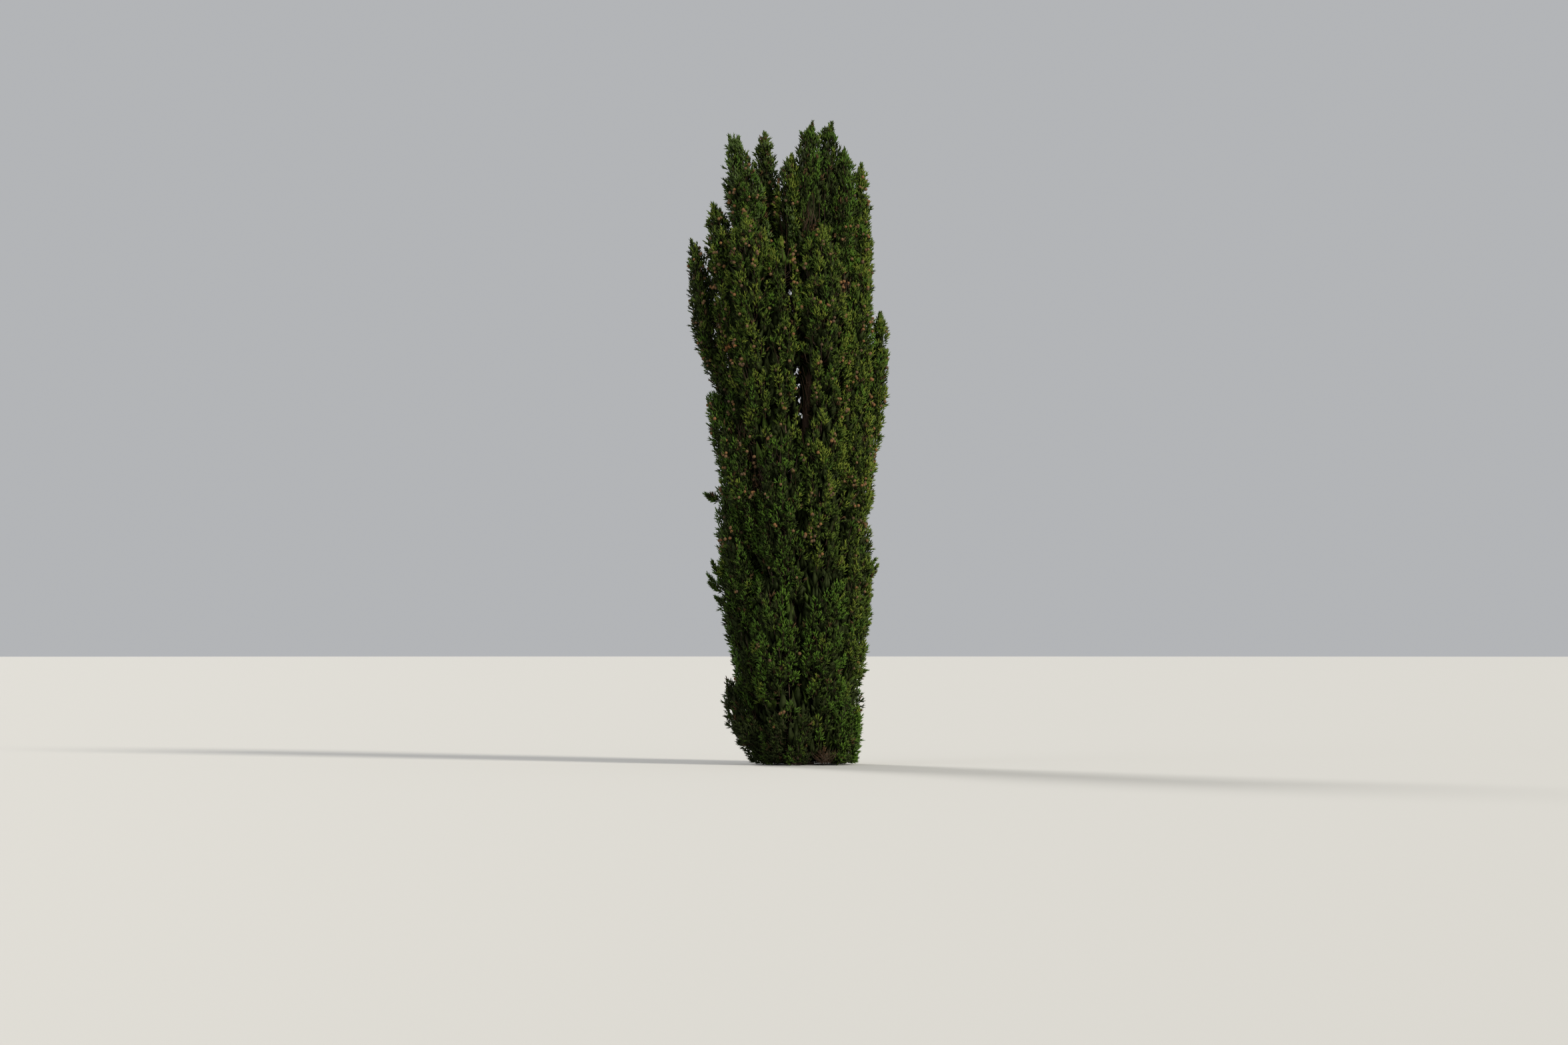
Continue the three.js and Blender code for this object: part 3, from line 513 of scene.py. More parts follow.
# %% [markdown]
# Cypress bark is thin and stringy. It runs up the limbs in flat fibres with shallow cracks
# between them, grey where the weather reaches it and red-brown in the cracks. An image
# texture could show that from close by, but a pattern that is worked out needs no file and no
# seam. The fibres are used by two finishes, so they are a group of nodes of their own: noise
# that is drawn out along the limb, with a mask for the cracks and a height for the bump.

# %% Bark fibres as a node group
def add_node(tree, kind, **sockets):
    node = tree.nodes.new(kind)
    for name, value in sockets.items():
        node.inputs[name.replace("_", " ")].default_value = value
    return node


def make_fibres():
    group = bpy.data.node_groups.new("bark_fibres", "ShaderNodeTree")
    for name, kind, way in (("Fibres", "NodeSocketFloat", "INPUT"),
                            ("Draw", "NodeSocketFloat", "INPUT"),
                            ("Crack", "NodeSocketFloat", "OUTPUT"),
                            ("Weather", "NodeSocketFloat", "OUTPUT"),
                            ("Height", "NodeSocketFloat", "OUTPUT")):
        group.interface.new_socket(name=name, in_out=way, socket_type=kind)
    start = group.nodes.new("NodeGroupInput")
    end = group.nodes.new("NodeGroupOutput")
    place = group.nodes.new("ShaderNodeTexCoord")
    drawn = add_node(group, "ShaderNodeMapping")
    fibre = add_node(group, "ShaderNodeTexNoise", Detail=6.0, Roughness=0.6)
    weather = add_node(group, "ShaderNodeTexNoise", Scale=3.5, Detail=3.0)
    crack = add_node(group, "ShaderNodeMapRange", From_Min=0.36, From_Max=0.5)
    stretch = add_node(group, "ShaderNodeCombineXYZ", X=1.0, Y=1.0)
    link = group.links.new
    link(start.outputs["Draw"], stretch.inputs["Z"])
    link(stretch.outputs["Vector"], drawn.inputs["Scale"])
    link(place.outputs["Object"], drawn.inputs["Vector"])
    link(drawn.outputs["Vector"], fibre.inputs["Vector"])
    link(start.outputs["Fibres"], fibre.inputs["Scale"])
    link(place.outputs["Object"], weather.inputs["Vector"])
    link(fibre.outputs["Fac"], crack.inputs["Value"])
    link(crack.outputs["Result"], end.inputs["Crack"])
    link(weather.outputs["Fac"], end.inputs["Weather"])
    link(fibre.outputs["Fac"], end.inputs["Height"])
    return group


fibres = make_fibres()
print("node group", fibres.name)

# %% Bark on the trunk and on the boughs
BARK_CRACK = (0.030, 0.016, 0.009, 1)
BARK_FACE = (0.150, 0.078, 0.046, 1)
BARK_GREY = (0.155, 0.120, 0.088, 1)
# A Mix node keeps sockets for every kind of value. These are the ones for colours.
MIX_FACTOR, MIX_ONE, MIX_OTHER, MIX_RESULT = 0, 6, 7, 2


def mix_colours(tree, factor, one, other):
    node = tree.nodes.new("ShaderNodeMix")
    node.data_type = "RGBA"
    tree.links.new(factor, node.inputs[MIX_FACTOR])
    for socket, value in ((node.inputs[MIX_ONE], one), (node.inputs[MIX_OTHER], other)):
        if isinstance(value, bpy.types.NodeSocket):
            tree.links.new(value, socket)
        else:
            socket.default_value = value
    return node.outputs[MIX_RESULT]


def make_bark(name, fibre_scale, draw, bump_distance):
    material = bpy.data.materials.new(name)
    material.use_nodes = True
    tree = material.node_tree
    shader = tree.nodes["Principled BSDF"]
    pattern = tree.nodes.new("ShaderNodeGroup")
    pattern.node_tree = fibres
    pattern.inputs["Fibres"].default_value = fibre_scale
    pattern.inputs["Draw"].default_value = draw
    face = mix_colours(tree, pattern.outputs["Weather"], BARK_FACE, BARK_GREY)
    colour = mix_colours(tree, pattern.outputs["Crack"], BARK_CRACK, face)
    rough = add_node(tree, "ShaderNodeMapRange", To_Min=0.98, To_Max=0.8)
    bump = add_node(tree, "ShaderNodeBump", Strength=0.7, Distance=bump_distance)
    tree.links.new(colour, shader.inputs["Base Color"])
    tree.links.new(pattern.outputs["Crack"], rough.inputs["Value"])
    tree.links.new(rough.outputs["Result"], shader.inputs["Roughness"])
    tree.links.new(pattern.outputs["Height"], bump.inputs["Height"])
    tree.links.new(bump.outputs["Normal"], shader.inputs["Normal"])
    return material


trunk_bark = make_bark("trunk_bark", fibre_scale=55.0, draw=0.09, bump_distance=0.006)
bough_bark = make_bark("bough_bark", fibre_scale=95.0, draw=0.12, bump_distance=0.003)
print("bark", trunk_bark.name, bough_bark.name)

# %% [markdown]
# A limb could be a bevelled curve, but its bark would then be as smooth as a pipe. Here a flat
# grid is added, as wide as the limb is round and as long as it is tall, and its points are
# wrapped round the limb's middle line. Each point stands in or out by the depth of the ridges,
# which wander a little as they climb. The seam is merged and the two ends are filled.

# %% Ridges of the bark
CURVE_MARKS = 401
FEWEST_RINGS = 6
RIDGE_PITCH = 21.0
FEWEST_RIDGES = 5
RIDGE_WANDERS = ((0.35, 260.0), (0.2, 97.0))
BROAD_SWAY = 2.2
BROAD_EDGE = 0.7
BROAD_SHARE = 0.7
NARROW_PITCH = 1.7
NARROW_SWAY = 3.1
NARROW_SHARE = 0.15
RIDGE_MIDDLE = 0.35


def even_shares(points, step):
    """Shares of a curve that lie about a step apart along it."""
    shares = np.linspace(0, 1, CURVE_MARKS)
    runs = np.linalg.norm(np.diff(spline(points, shares), axis=0), axis=1)
    far = np.concatenate([[0], np.cumsum(runs)])
    count = max(FEWEST_RINGS, round(far[-1] / step))
    return np.interp(np.linspace(0, far[-1], count + 1), far, shares)


def directions(centres, reference):
    along = unit(np.gradient(centres, axis=0))
    across, third = frames(along, reference)
    return along, across, third


def ridges(angle, climb, radius, random):
    """Relief of the bark, as a share of the radius, from -0.5 in a crack to 0.5."""
    count = max(FEWEST_RIDGES, round(2 * math.pi * radius / RIDGE_PITCH))
    phase = random.uniform(0, 2 * math.pi, 4)
    wander = sum(far * np.sin(climb / run + turn)
                 for (far, run), turn in zip(RIDGE_WANDERS, phase))
    crest = np.abs(np.sin((count * angle + BROAD_SWAY * wander + phase[2]) / 2))
    broad = 1 - crest ** BROAD_EDGE
    narrow = np.sin(round(NARROW_PITCH * count) * angle - NARROW_SWAY * wander + phase[3])
    return BROAD_SHARE * broad + NARROW_SHARE * narrow - RIDGE_MIDDLE


print("ridges every", RIDGE_PITCH, "mm")

# %% Wrap a grid round a limb
RIDGE_DEPTH = 0.05
MERGE_GAP = 1e-6


def wrap_limb(name, points, reach, sides, step, seed):
    """A limb with ridged bark. reach gives its radius at each share, height and angle.

    The grid's last column lies on its first, and the two are merged into one seam.
    """
    shares = even_shares(points, step)
    centres = spline(points, shares)
    reference = level_across(np.subtract(points[-1], points[0]))
    _, across, third = directions(centres, reference)
    angle = np.arange(sides + 1) % sides / sides * 2 * math.pi
    radius = reach(shares, centres[:, 2:3], angle)
    climb = np.linspace(0, len(shares) * step, len(shares))[:, None]
    relief = ridges(angle, climb, radius.max(), np.random.default_rng(seed))
    radius = (radius * (1 + RIDGE_DEPTH * relief))[:, :, None]
    ring = across[:, None] * np.cos(angle)[:, None] + third[:, None] * np.sin(angle)[:, None]
    points_round = centres[:, None] + ring * radius
    points_round[..., 2] = np.maximum(points_round[..., 2], 0)
    bpy.ops.object.select_all(action="DESELECT")
    bpy.ops.mesh.primitive_grid_add(
        x_subdivisions=sides, y_subdivisions=len(shares) - 1, size=1)
    limb = bpy.context.object
    limb.name = name
    limb.data.vertices.foreach_set("co", (points_round * MM).ravel())
    bpy.ops.object.mode_set(mode="EDIT")
    bpy.ops.mesh.select_all(action="SELECT")
    bpy.ops.mesh.remove_doubles(threshold=MERGE_GAP)
    bpy.ops.mesh.fill_holes(sides=0)
    bpy.ops.mesh.select_all(action="SELECT")
    bpy.ops.mesh.normals_make_consistent(inside=False)
    bpy.ops.object.mode_set(mode="OBJECT")
    bpy.ops.object.shade_smooth()
    return limb


print("ridges stand", RIDGE_DEPTH, "of the radius in or out")

# %% Wrap the trunk
TRUNK_SIDES = 96
TRUNK_STEP = 32
TRUNK_SEED = 1


def trunk_reach(shares, height, angle):
    foot = np.exp(-height / FLARE_HEIGHT)
    lobe = 1 + LOBE_DEPTH * foot * np.cos(ROOT_LOBES * angle)
    taper = TRUNK_FOOT_RADIUS + (TRUNK_TIP_RADIUS - TRUNK_FOOT_RADIUS) * shares[:, None]
    return taper + (TRUNK_FOOT_RADIUS + TRUNK_FLARE * foot) * lobe - TRUNK_FOOT_RADIUS


bark_trunk = wrap_limb("bark_trunk", TRUNK_PATH, trunk_reach, TRUNK_SIDES, TRUNK_STEP,
                       TRUNK_SEED)
bark_trunk.data.materials.append(trunk_bark)
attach(bark_trunk, "root")
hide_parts("trunk")
print("trunk faces", len(bark_trunk.data.polygons))

# %% [markdown]
# Each bough leaves the trunk or a larger bough, bends upwards and runs on inside its mass as
# the stem that carries the tufts. The points are worked out as the source works them out, and
# the stem follows the mass's own axis to near its tip. Stems are wrapped as the boughs are, so
# a limb is one closed tube from where it leaves its carrier to where its mass ends.

# %% Lines of the boughs and stems
STEM_TIP_RADIUS = 2.5
STEM_START = 0.35
STEM_SHARES = [0.5, 0.68, 0.84, 0.97]
HEIGHT_MARKS = 2001


def point_at_height(points, height):
    shares = np.linspace(0, 1, HEIGHT_MARKS)
    line = spline(points, shares)
    return line[np.argmin(np.abs(line[:, 2] - height))]


def limb_points(plume, carrier):
    row = plume.row
    start = point_at_height(carrier, row["height"])
    entry, inside = plume.centre([BOUGH_ENTRY, STEM_ENTRY])
    straight = np.linalg.norm(entry - start) * LIMB_APPROACH
    approach = entry - plume.along([BOUGH_ENTRY])[0] * straight
    middle = start + (approach - start) * LIMB_RISE
    middle[2] = (start[2] + approach[2]) / 2
    if "via" in row:
        middle = np.array(row["via"], float)
    return np.array([start, middle, approach, entry, inside])


limb_lines = {"trunk": np.array(TRUNK_PATH, float)}
for plume in plumes:
    if "height" in plume.row:
        limb_lines[plume.name] = limb_points(plume, limb_lines[plume.row["limb"]])
stem_lines = {}
for plume in plumes:
    first = limb_lines[plume.name] if plume.name in limb_lines else plume.centre([STEM_START])
    stem_lines[plume.name] = np.vstack([first, plume.centre(STEM_SHARES)])
print("boughs and stems", len(stem_lines))

# %% Wrap the boughs and stems
BOUGH_SIDES = 14
BOUGH_STEP = 60
BOUGH_SEED = 10
ENTRY_POINT = 3
STEM_ENTRY_SHARE = 0.1


def bough_reach(plume):
    thick = plume.row.get("thick", 2 * TRUNK_TIP_RADIUS)
    spans = len(stem_lines[plume.name]) - 1
    entry = ENTRY_POINT / spans if plume.name in limb_lines else STEM_ENTRY_SHARE
    marks = [0, entry, 1]
    sizes = [thick, thick * LIMB_TAPER, STEM_TIP_RADIUS]

    def reach(shares, height, angle):
        return np.interp(shares, marks, sizes)[:, None] * np.ones_like(angle)
    return reach


def join(pieces, name):
    bpy.ops.object.select_all(action="DESELECT")
    for piece in pieces:
        piece.select_set(True)
    bpy.context.view_layer.objects.active = pieces[0]
    bpy.ops.object.join()
    pieces[0].name = name
    pieces[0].data.name = name
    return pieces[0]


boughs = [wrap_limb(f"limb_{plume.name}", stem_lines[plume.name], bough_reach(plume),
                    BOUGH_SIDES, BOUGH_STEP, BOUGH_SEED + i) for i, plume in enumerate(plumes)]
bark_boughs = join(boughs, "bark_boughs")
bark_boughs.data.materials.append(bough_bark)
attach(bark_boughs, "root")
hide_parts(*[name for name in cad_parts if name.startswith("bough_")])
print("bough faces", len(bark_boughs.data.polygons))

# %% [markdown]
# A cypress leaf is a scale a millimetre long, pressed flat against its shoot, so what the eye
# sees is the shoot. Even shoots number hundreds of thousands on a real tree. Here one shoot is
# modelled, a three-sided spindle of six faces, much coarser than life. A cone with its
# base drawn up gives that shape: thin where it leaves the twig and full at its middle.

# %% Model one leafy shoot
SHOOT_WAIST = 0.5
SHOOT_RADIUS = 0.09


def read_shape(shape):
    """A modelled shape as arrays of points and triangles; the object itself is removed."""
    mesh = shape.data
    mesh.calc_loop_triangles()
    points = np.empty(len(mesh.vertices) * 3)
    mesh.vertices.foreach_get("co", points)
    faces = np.empty(len(mesh.loop_triangles) * 3, dtype=np.int64)
    mesh.loop_triangles.foreach_get("vertices", faces)
    bpy.data.objects.remove(shape)
    return points.reshape(-1, 3), faces.reshape(-1, 3)


def select_points(test):
    """In edit mode, selects the points that the test is true of, and no others."""
    bpy.ops.mesh.select_all(action="DESELECT")
    bpy.ops.object.mode_set(mode="OBJECT")
    for vertex in bpy.context.object.data.vertices:
        vertex.select = bool(test(vertex.co))
    bpy.ops.object.mode_set(mode="EDIT")


bpy.ops.object.select_all(action="DESELECT")
bpy.ops.mesh.primitive_cone_add(
    vertices=3, radius1=SHOOT_RADIUS, radius2=0, depth=1, end_fill_type="TRIFAN")
bpy.ops.object.mode_set(mode="EDIT")
bpy.ops.mesh.select_mode(type="VERT")
bpy.ops.transform.translate(value=(0, 0, 0.5))
select_points(lambda co: math.hypot(co.x, co.y) > SHOOT_RADIUS / 2)
bpy.ops.transform.translate(value=(0, 0, SHOOT_WAIST))
bpy.ops.object.mode_set(mode="OBJECT")
shoot_shape = read_shape(bpy.context.object)
print("shoot faces", len(shoot_shape[1]), "height", shoot_shape[0][:, 2].max())

# %% [markdown]
# A spray is one leading shoot with shorter ones up its sides, each turned on from the last by
# the golden angle. Four sprays are set out, alike in plan and different in their chances, and
# all leaves in the light are copies of one of them. Two broader ones of two shoots each are for
# the dark inside of the crown, where no one can count the shoots.

# %% Set out the sprays
SPRAY_KINDS = 4
SIDE_SHOOTS = 3
SIDE_SHARE = (0.08, 0.50)
SIDE_LEAN = (math.radians(31), math.radians(23))
SIDE_LENGTH = (0.66, 0.46)
SIDE_TURN = 0.5
SIDE_CHANCE = (0.85, 1.15)
WIDTH_POWER = 0.5
OFF_EVERY_SHOOT = np.array([0.3, 1.0, 0.2])  # a direction that no shoot runs along
KINDS_SEED = 7
BROAD_KINDS = 2
BROAD_SIDE_SHOOTS = 1
BROAD_GIRTH = 1.5


def from_to(ends, share):
    return ends[0] + (ends[1] - ends[0]) * share


def repeat(shape, roots, across, third, along, widths, lengths):
    """Copies of a small shape, each on its own root, directions and size.

    The three directions make a mirror image of the shape, so its faces are turned round.
    """
    points, faces = shape
    x, y, z = (points[:, i][None, :, None] for i in range(3))
    wide, tall = widths[:, None, None], lengths[:, None, None]
    placed = (roots[:, None] + across[:, None] * x * wide + third[:, None] * y * wide
              + along[:, None] * z * tall)
    firsts = np.arange(len(roots))[:, None, None] * len(points)
    return placed.reshape(-1, 3), (faces[None, :, ::-1] + firsts).reshape(-1, 3)


def set_out_spray(random, side_shoots, girth):
    order = np.linspace(0, 1, side_shoots)
    share = from_to(SIDE_SHARE, order)
    turn = np.arange(side_shoots) * GOLDEN_ANGLE
    turn = turn + random.uniform(-SIDE_TURN, SIDE_TURN, side_shoots)
    lean = from_to(SIDE_LEAN, order)
    along = np.stack([np.cos(turn) * np.sin(lean), np.sin(turn) * np.sin(lean),
                      np.cos(lean)], axis=1)
    length = from_to(SIDE_LENGTH, order) * random.uniform(*SIDE_CHANCE, side_shoots)
    along = np.vstack([along, [0, 0, 1]])
    length = np.append(length, 1.0)
    roots = np.stack([np.zeros(side_shoots + 1)] * 2 + [np.append(share, 0)], axis=1)
    across, third = frames(along, OFF_EVERY_SHOOT)
    width = np.append(length[:-1] ** WIDTH_POWER, 1.0) * girth
    return repeat(shoot_shape, roots, across, third, along, width, length)


kinds_random = np.random.default_rng(KINDS_SEED)
spray_shapes = [set_out_spray(kinds_random, SIDE_SHOOTS, 1) for _ in range(SPRAY_KINDS)]
broad_shapes = [set_out_spray(kinds_random, BROAD_SIDE_SHOOTS, BROAD_GIRTH)
                for _ in range(BROAD_KINDS)]
spray_faces, broad_faces = len(spray_shapes[0][1]), len(broad_shapes[0][1])
print("spray faces", spray_faces, "broad spray faces", broad_faces)

# %% [markdown]
# Each tint is a plain colour of its own, in steps from painted shade to painted light. The top
# of a tuft is painted light in yellow-green and its foot painted shade in deep green, and what
# gets no light inside the crown dries to brown. Whole sprays are dealt one tint or another. A
# pattern over so many small leaves would smear when the tree is exported, and a plain colour
# can't.

# %% Tints of the leaves, twigs and cones
# The two darkest tints are painted shade and the fresh and olive ones painted light.
LEAF_TINTS = {
    "leaf_shade": (0.017, 0.025, 0.005),
    "leaf_deep": (0.034, 0.058, 0.007),
    "leaf_green": (0.063, 0.096, 0.012),
    "leaf_cool": (0.045, 0.092, 0.011),
    "leaf_fresh": (0.061, 0.121, 0.012),
    "leaf_olive": (0.110, 0.142, 0.018),
    "leaf_grey": (0.064, 0.098, 0.027),
    "leaf_brown": (0.064, 0.037, 0.016),
    "leaf_rust": (0.300, 0.140, 0.050),
}
TWIG_TINTS = {"twig_brown": (0.060, 0.034, 0.019), "twig_grey": (0.085, 0.062, 0.044)}
CONE_TINTS = {
    "cone_tan": (0.122, 0.072, 0.035),
    "cone_orange": (0.155, 0.080, 0.032),
    "cone_old": (0.078, 0.050, 0.029),
}
# How rough each is, and how strongly it shines.
LEAF_FINISH = (0.75, 0.12)
TWIG_FINISH = (0.9, 0.2)
CONE_FINISH = (0.8, 0.12)


def plain_material(name, colour, roughness, specular):
    material = bpy.data.materials.new(name)
    material.use_nodes = True
    shader = material.node_tree.nodes["Principled BSDF"]
    shader.inputs["Base Color"].default_value = (*colour, 1)
    shader.inputs["Roughness"].default_value = roughness
    shader.inputs["Specular IOR Level"].default_value = specular
    return material


leaf_materials = [plain_material(*tint, *LEAF_FINISH) for tint in LEAF_TINTS.items()]
twig_materials = [plain_material(*tint, *TWIG_FINISH) for tint in TWIG_TINTS.items()]
cone_materials = [plain_material(*tint, *CONE_FINISH) for tint in CONE_TINTS.items()]
SHADE, HALF_SHADE, GREEN, COOL, FRESH, OLIVE, GREY, BROWN, RUST = range(len(LEAF_TINTS))
print("tints", len(leaf_materials) + len(twig_materials) + len(cone_materials))

# %% [markdown]
# The tufts stand on a golden-angle spiral up each mass, as the source's blades do, only
# closer together. A tuft starts inside the mass and leans out and up to about its reach. Tufts
# on one branch keep together, so the crown has upright ribs with dark folds between them. One
# wave round the mass and one up it say how far each tuft stands on a rib, and that moves the
# tuft in or out, and paints it lighter on a crest as painted light and darker in a fold as
# painted shade.

# %% A spiral and ribs round a mass
SPIRAL_START = -0.02
SPIRAL_MARKS = 300
RIB_PITCH = 240
RIB_RUN = 410
FEWEST_RIBS = 3
RIB_SWAY = 0.9
RIB_SWAY_RUN = 2.7
RIB_TWIST = 2.5
RIB_SHARES = (0.6, 0.4)


def spiral(plume, count):
    """Shares of the axis and angles round it, spread evenly over the mass's surface."""
    shares = np.linspace(SPIRAL_START, 1, SPIRAL_MARKS)
    far = np.concatenate([[0], np.cumsum(plume.reach(shares)[1:])])
    even = (np.arange(count) + 0.5) / count * far[-1]
    return np.interp(even, far, shares), np.arange(count) * GOLDEN_ANGLE


def round_about(plume):
    """How far it is round a mass."""
    return 2 * math.pi * plume.row["girth"] * MEAN_GIRTH * (1 + plume.row["broad"]) / 2


def ribs(plume, share, angle, random):
    """How far each place stands on a rib, from -1 in a fold to 1 on a crest."""
    phase = random.uniform(0, 2 * math.pi, 3)
    climb = share * plume.length * 2 * math.pi / RIB_RUN
    count = max(FEWEST_RIBS, round(round_about(plume) / RIB_PITCH))
    wander = RIB_SWAY * np.sin(climb / RIB_SWAY_RUN + phase[0])
    around = np.cos(count * angle + wander + phase[1])
    upward = np.sin(climb + RIB_TWIST * np.cos(2 * angle + phase[2]))
    return RIB_SHARES[0] * around + RIB_SHARES[1] * upward


print("round the largest mass", round(max(round_about(plume) for plume in plumes)), "mm")

# %% Tufts of one mass
TUFT_SEED = 100
TUFT_TURN = 0.35
TUFT_SHIFT = 0.3
SIZE_BIAS = 1.3
THIN_GIRTH = 135
THIN_AREA = 0.72
RIB_PROUD = 40
HUE_OF_RIB = 0.4
HUE_CHANCE = 0.25
SPINE_BACK = 0.4
FLOOR_CLEAR = 12


def grow_tufts(number, plume, area, sizes, proud, root_share, out_share, short=0):
    """Tufts over one mass, each on about this area of its surface.

    proud is how far a tip may stand out of the mass's reach, root_share and out_share where
    roots and tips lie in that reach, and short how far below the mass's end the last ones stop.
    """
    random = np.random.default_rng(TUFT_SEED + number)
    area = area * (THIN_AREA if plume.row["girth"] < THIN_GIRTH else 1)
    share, angle = spiral(plume, round(round_about(plume) * plume.length / area))
    count = len(share)
    angle = angle + random.uniform(-TUFT_TURN, TUFT_TURN, count)
    size = from_to(sizes, random.random(count) ** SIZE_BIAS)
    shift = random.uniform(-TUFT_SHIFT, TUFT_SHIFT, count)
    share = share + shift * math.sqrt(area) / plume.length
    share = np.minimum(share, 1 - short / plume.length)
    start = share - size / plume.length
    rib = ribs(plume, share, angle, random)
    hue = 0.5 + HUE_OF_RIB * ribs(plume, share, angle, random)
    hue = hue + random.uniform(-HUE_CHANCE, HUE_CHANCE, count)
    beyond = random.uniform(*proud, count) + rib * RIB_PROUD
    tip = plume.place(share, angle, plume.reach(share) * out_share + beyond)
    root = plume.place(start, angle, plume.reach(start) * root_share)
    root[:, 2] = np.maximum(root[:, 2], FLOOR_CLEAR)
    spine = plume.centre(start - SPINE_BACK * size / plume.length)
    spine[:, 2] = np.maximum(spine[:, 2], FLOOR_CLEAR)
    return dict(root=root, tip=tip, spine=spine, outward=unit(tip - plume.centre(share)),
                plume=np.full(count, number), tone=random.uniform(0, 1, count), rib=rib,
                hue=np.clip(hue, 0, 1))


print("a crest or a fold moves a tuft out or in by at most", RIB_PROUD, "mm")

# %% Tufts at the tip of a mass
TIP_SEED = 200
TIP_TUFTS = 7
TIP_LENGTH = 165
TIP_SIZES = (1, 0.6)
TIP_PLACES = (0, -0.9)
TIP_OUT = (0, 0.85)
TIP_ROOT = 0.5
TIP_SPINE_BACK = 0.2
TIP_TONES = (0.3, 0.9)
# Tip tufts count as halfway up a crest, so they are painted a little lighter.
TIP_RIB = 0.5


def tip_tufts(number, plume):
    """The few tufts that close a mass at its tip."""
    random = np.random.default_rng(TIP_SEED + number)
    angle = np.arange(TIP_TUFTS) * GOLDEN_ANGLE
    size = TIP_LENGTH * np.linspace(*TIP_SIZES, TIP_TUFTS)
    share = 1 + np.linspace(*TIP_PLACES, TIP_TUFTS) * TIP_LENGTH / plume.length
    start = share - size / plume.length
    out = np.linspace(*TIP_OUT, TIP_TUFTS)
    tip = plume.place(share, angle, plume.reach(share) * out)
    root = plume.place(start, angle, plume.reach(start) * out * TIP_ROOT)
    spine = plume.centre(start - TIP_SPINE_BACK)
    outward = unit(plume.place(share, angle, np.ones(TIP_TUFTS)) - plume.centre(share))
    return dict(root=root, tip=tip, spine=spine, outward=outward,
                plume=np.full(TIP_TUFTS, number), tone=random.uniform(*TIP_TONES, TIP_TUFTS),
                rib=np.full(TIP_TUFTS, TIP_RIB), hue=random.uniform(0, 1, TIP_TUFTS))


print("tufts at each tip", TIP_TUFTS)

# %% Grow the tufts
TUFT_AREA = 8800
TUFT_SIZES = (120, 240)
TUFT_PROUD = (-52, -6)
TUFT_ROOT = 0.66
FINE_MASSES = {"right_twin": 1.35, "right_leader": 1.35, "right_shoulder": 1.2}
TUFT_BURIED = 18
SLIM_GIRTH = 200
SLIM_SPARED = 2.2
PROBE_SHARES = (0.3, 0.7)
LOWEST_TUFT_TIP = 48


def together(rows):
    return {key: np.concatenate([row[key] for row in rows]) for key in rows[0]}


def keep(rows, chosen):
    return {key: values[chosen] for key, values in rows.items()}


def not_buried(tufts, limit):
    """Which tufts don't stand deeper than the limit in another mass. Slim masses have more."""
    probe = tufts["tip"] * PROBE_SHARES[1] + tufts["root"] * PROBE_SHARES[0]
    depths = excess_of_all(probe)
    depths[tufts["plume"], np.arange(len(probe))] = np.inf
    slim = np.array([plume.row["girth"] for plume in plumes])[tufts["plume"]] < SLIM_GIRTH
    return depths.min(axis=0) > -limit * np.where(slim, SLIM_SPARED, 1)


tufts = together([grow_tufts(i, plume, TUFT_AREA,
                             np.array(TUFT_SIZES) * FINE_MASSES.get(plume.name, 1),
                             TUFT_PROUD, TUFT_ROOT, 1.0) for i, plume in enumerate(plumes)]
                 + [tip_tufts(i, plume) for i, plume in enumerate(plumes)])
tried = len(tufts["tone"])
high_enough = tufts["tip"][:, 2] > LOWEST_TUFT_TIP
tufts = keep(tufts, not_buried(tufts, TUFT_BURIED) & high_enough)
print("tufts", len(tufts["tone"]), "of", tried)

# %% [markdown]
# A tuft is a small flame. Its lowest sprays spread widest, the ones above close in, and the
# last runs out along the tuft's own line. Sprays that would face into the crown aren't seen,
# so each tuft spends its sprays on the side towards the light.

# %% The line of a tuft
TUFT_BEND = 0.10
TUFT_SAG = 0.6


def tuft_line(tufts, share):
    """Points and directions at these shares of each tuft's line, which turns up at its end."""
    root, tip = tufts["root"][:, None], tufts["tip"][:, None]
    length = np.linalg.norm(tip - root, axis=2, keepdims=True)
    sag = tufts["outward"][:, None] - [0, 0, TUFT_SAG]
    bend = (root + tip) / 2 + sag * length * TUFT_BEND
    s = share[None, :, None]
    point = root * (1 - s) ** 2 + bend * 2 * s * (1 - s) + tip * s ** 2
    return point, unit((bend - root) * (1 - s) + (tip - bend) * s)


print("a tuft's line bends by", TUFT_BEND, "of its length")

# %% Spread sprays over each tuft
SPRAY_SEED = 21
SPRAYS_A_TUFT = 10
SPRAY_START = (0.08, 0.72)
SPRAY_SPREAD = (math.radians(46), math.radians(16))
SPREAD_CHANCE = (0.5, 1.5)
SPRAY_OFFSET = (26, 6)
OFFSET_CHANCE = (0.5, 1.4)
SPRAY_LENGTH = (88, 72)
LENGTH_CHANCE = (0.65, 1.3)
SPRAY_FAN = math.radians(125)
FAN_STEP = 0.618
SPRAY_LIFT = 0.10
SPRAY_GIRTH = 0.12
MOST_MARGIN = 14
BROAD_MARGIN = 2.4
CLEAR_SHARES = (0, 0.35, 0.7, 1)
TONE_OF_CHANCE = 0.5
TONE_OF_RIB = 0.75
TONE_AT_LEAST = 0.11


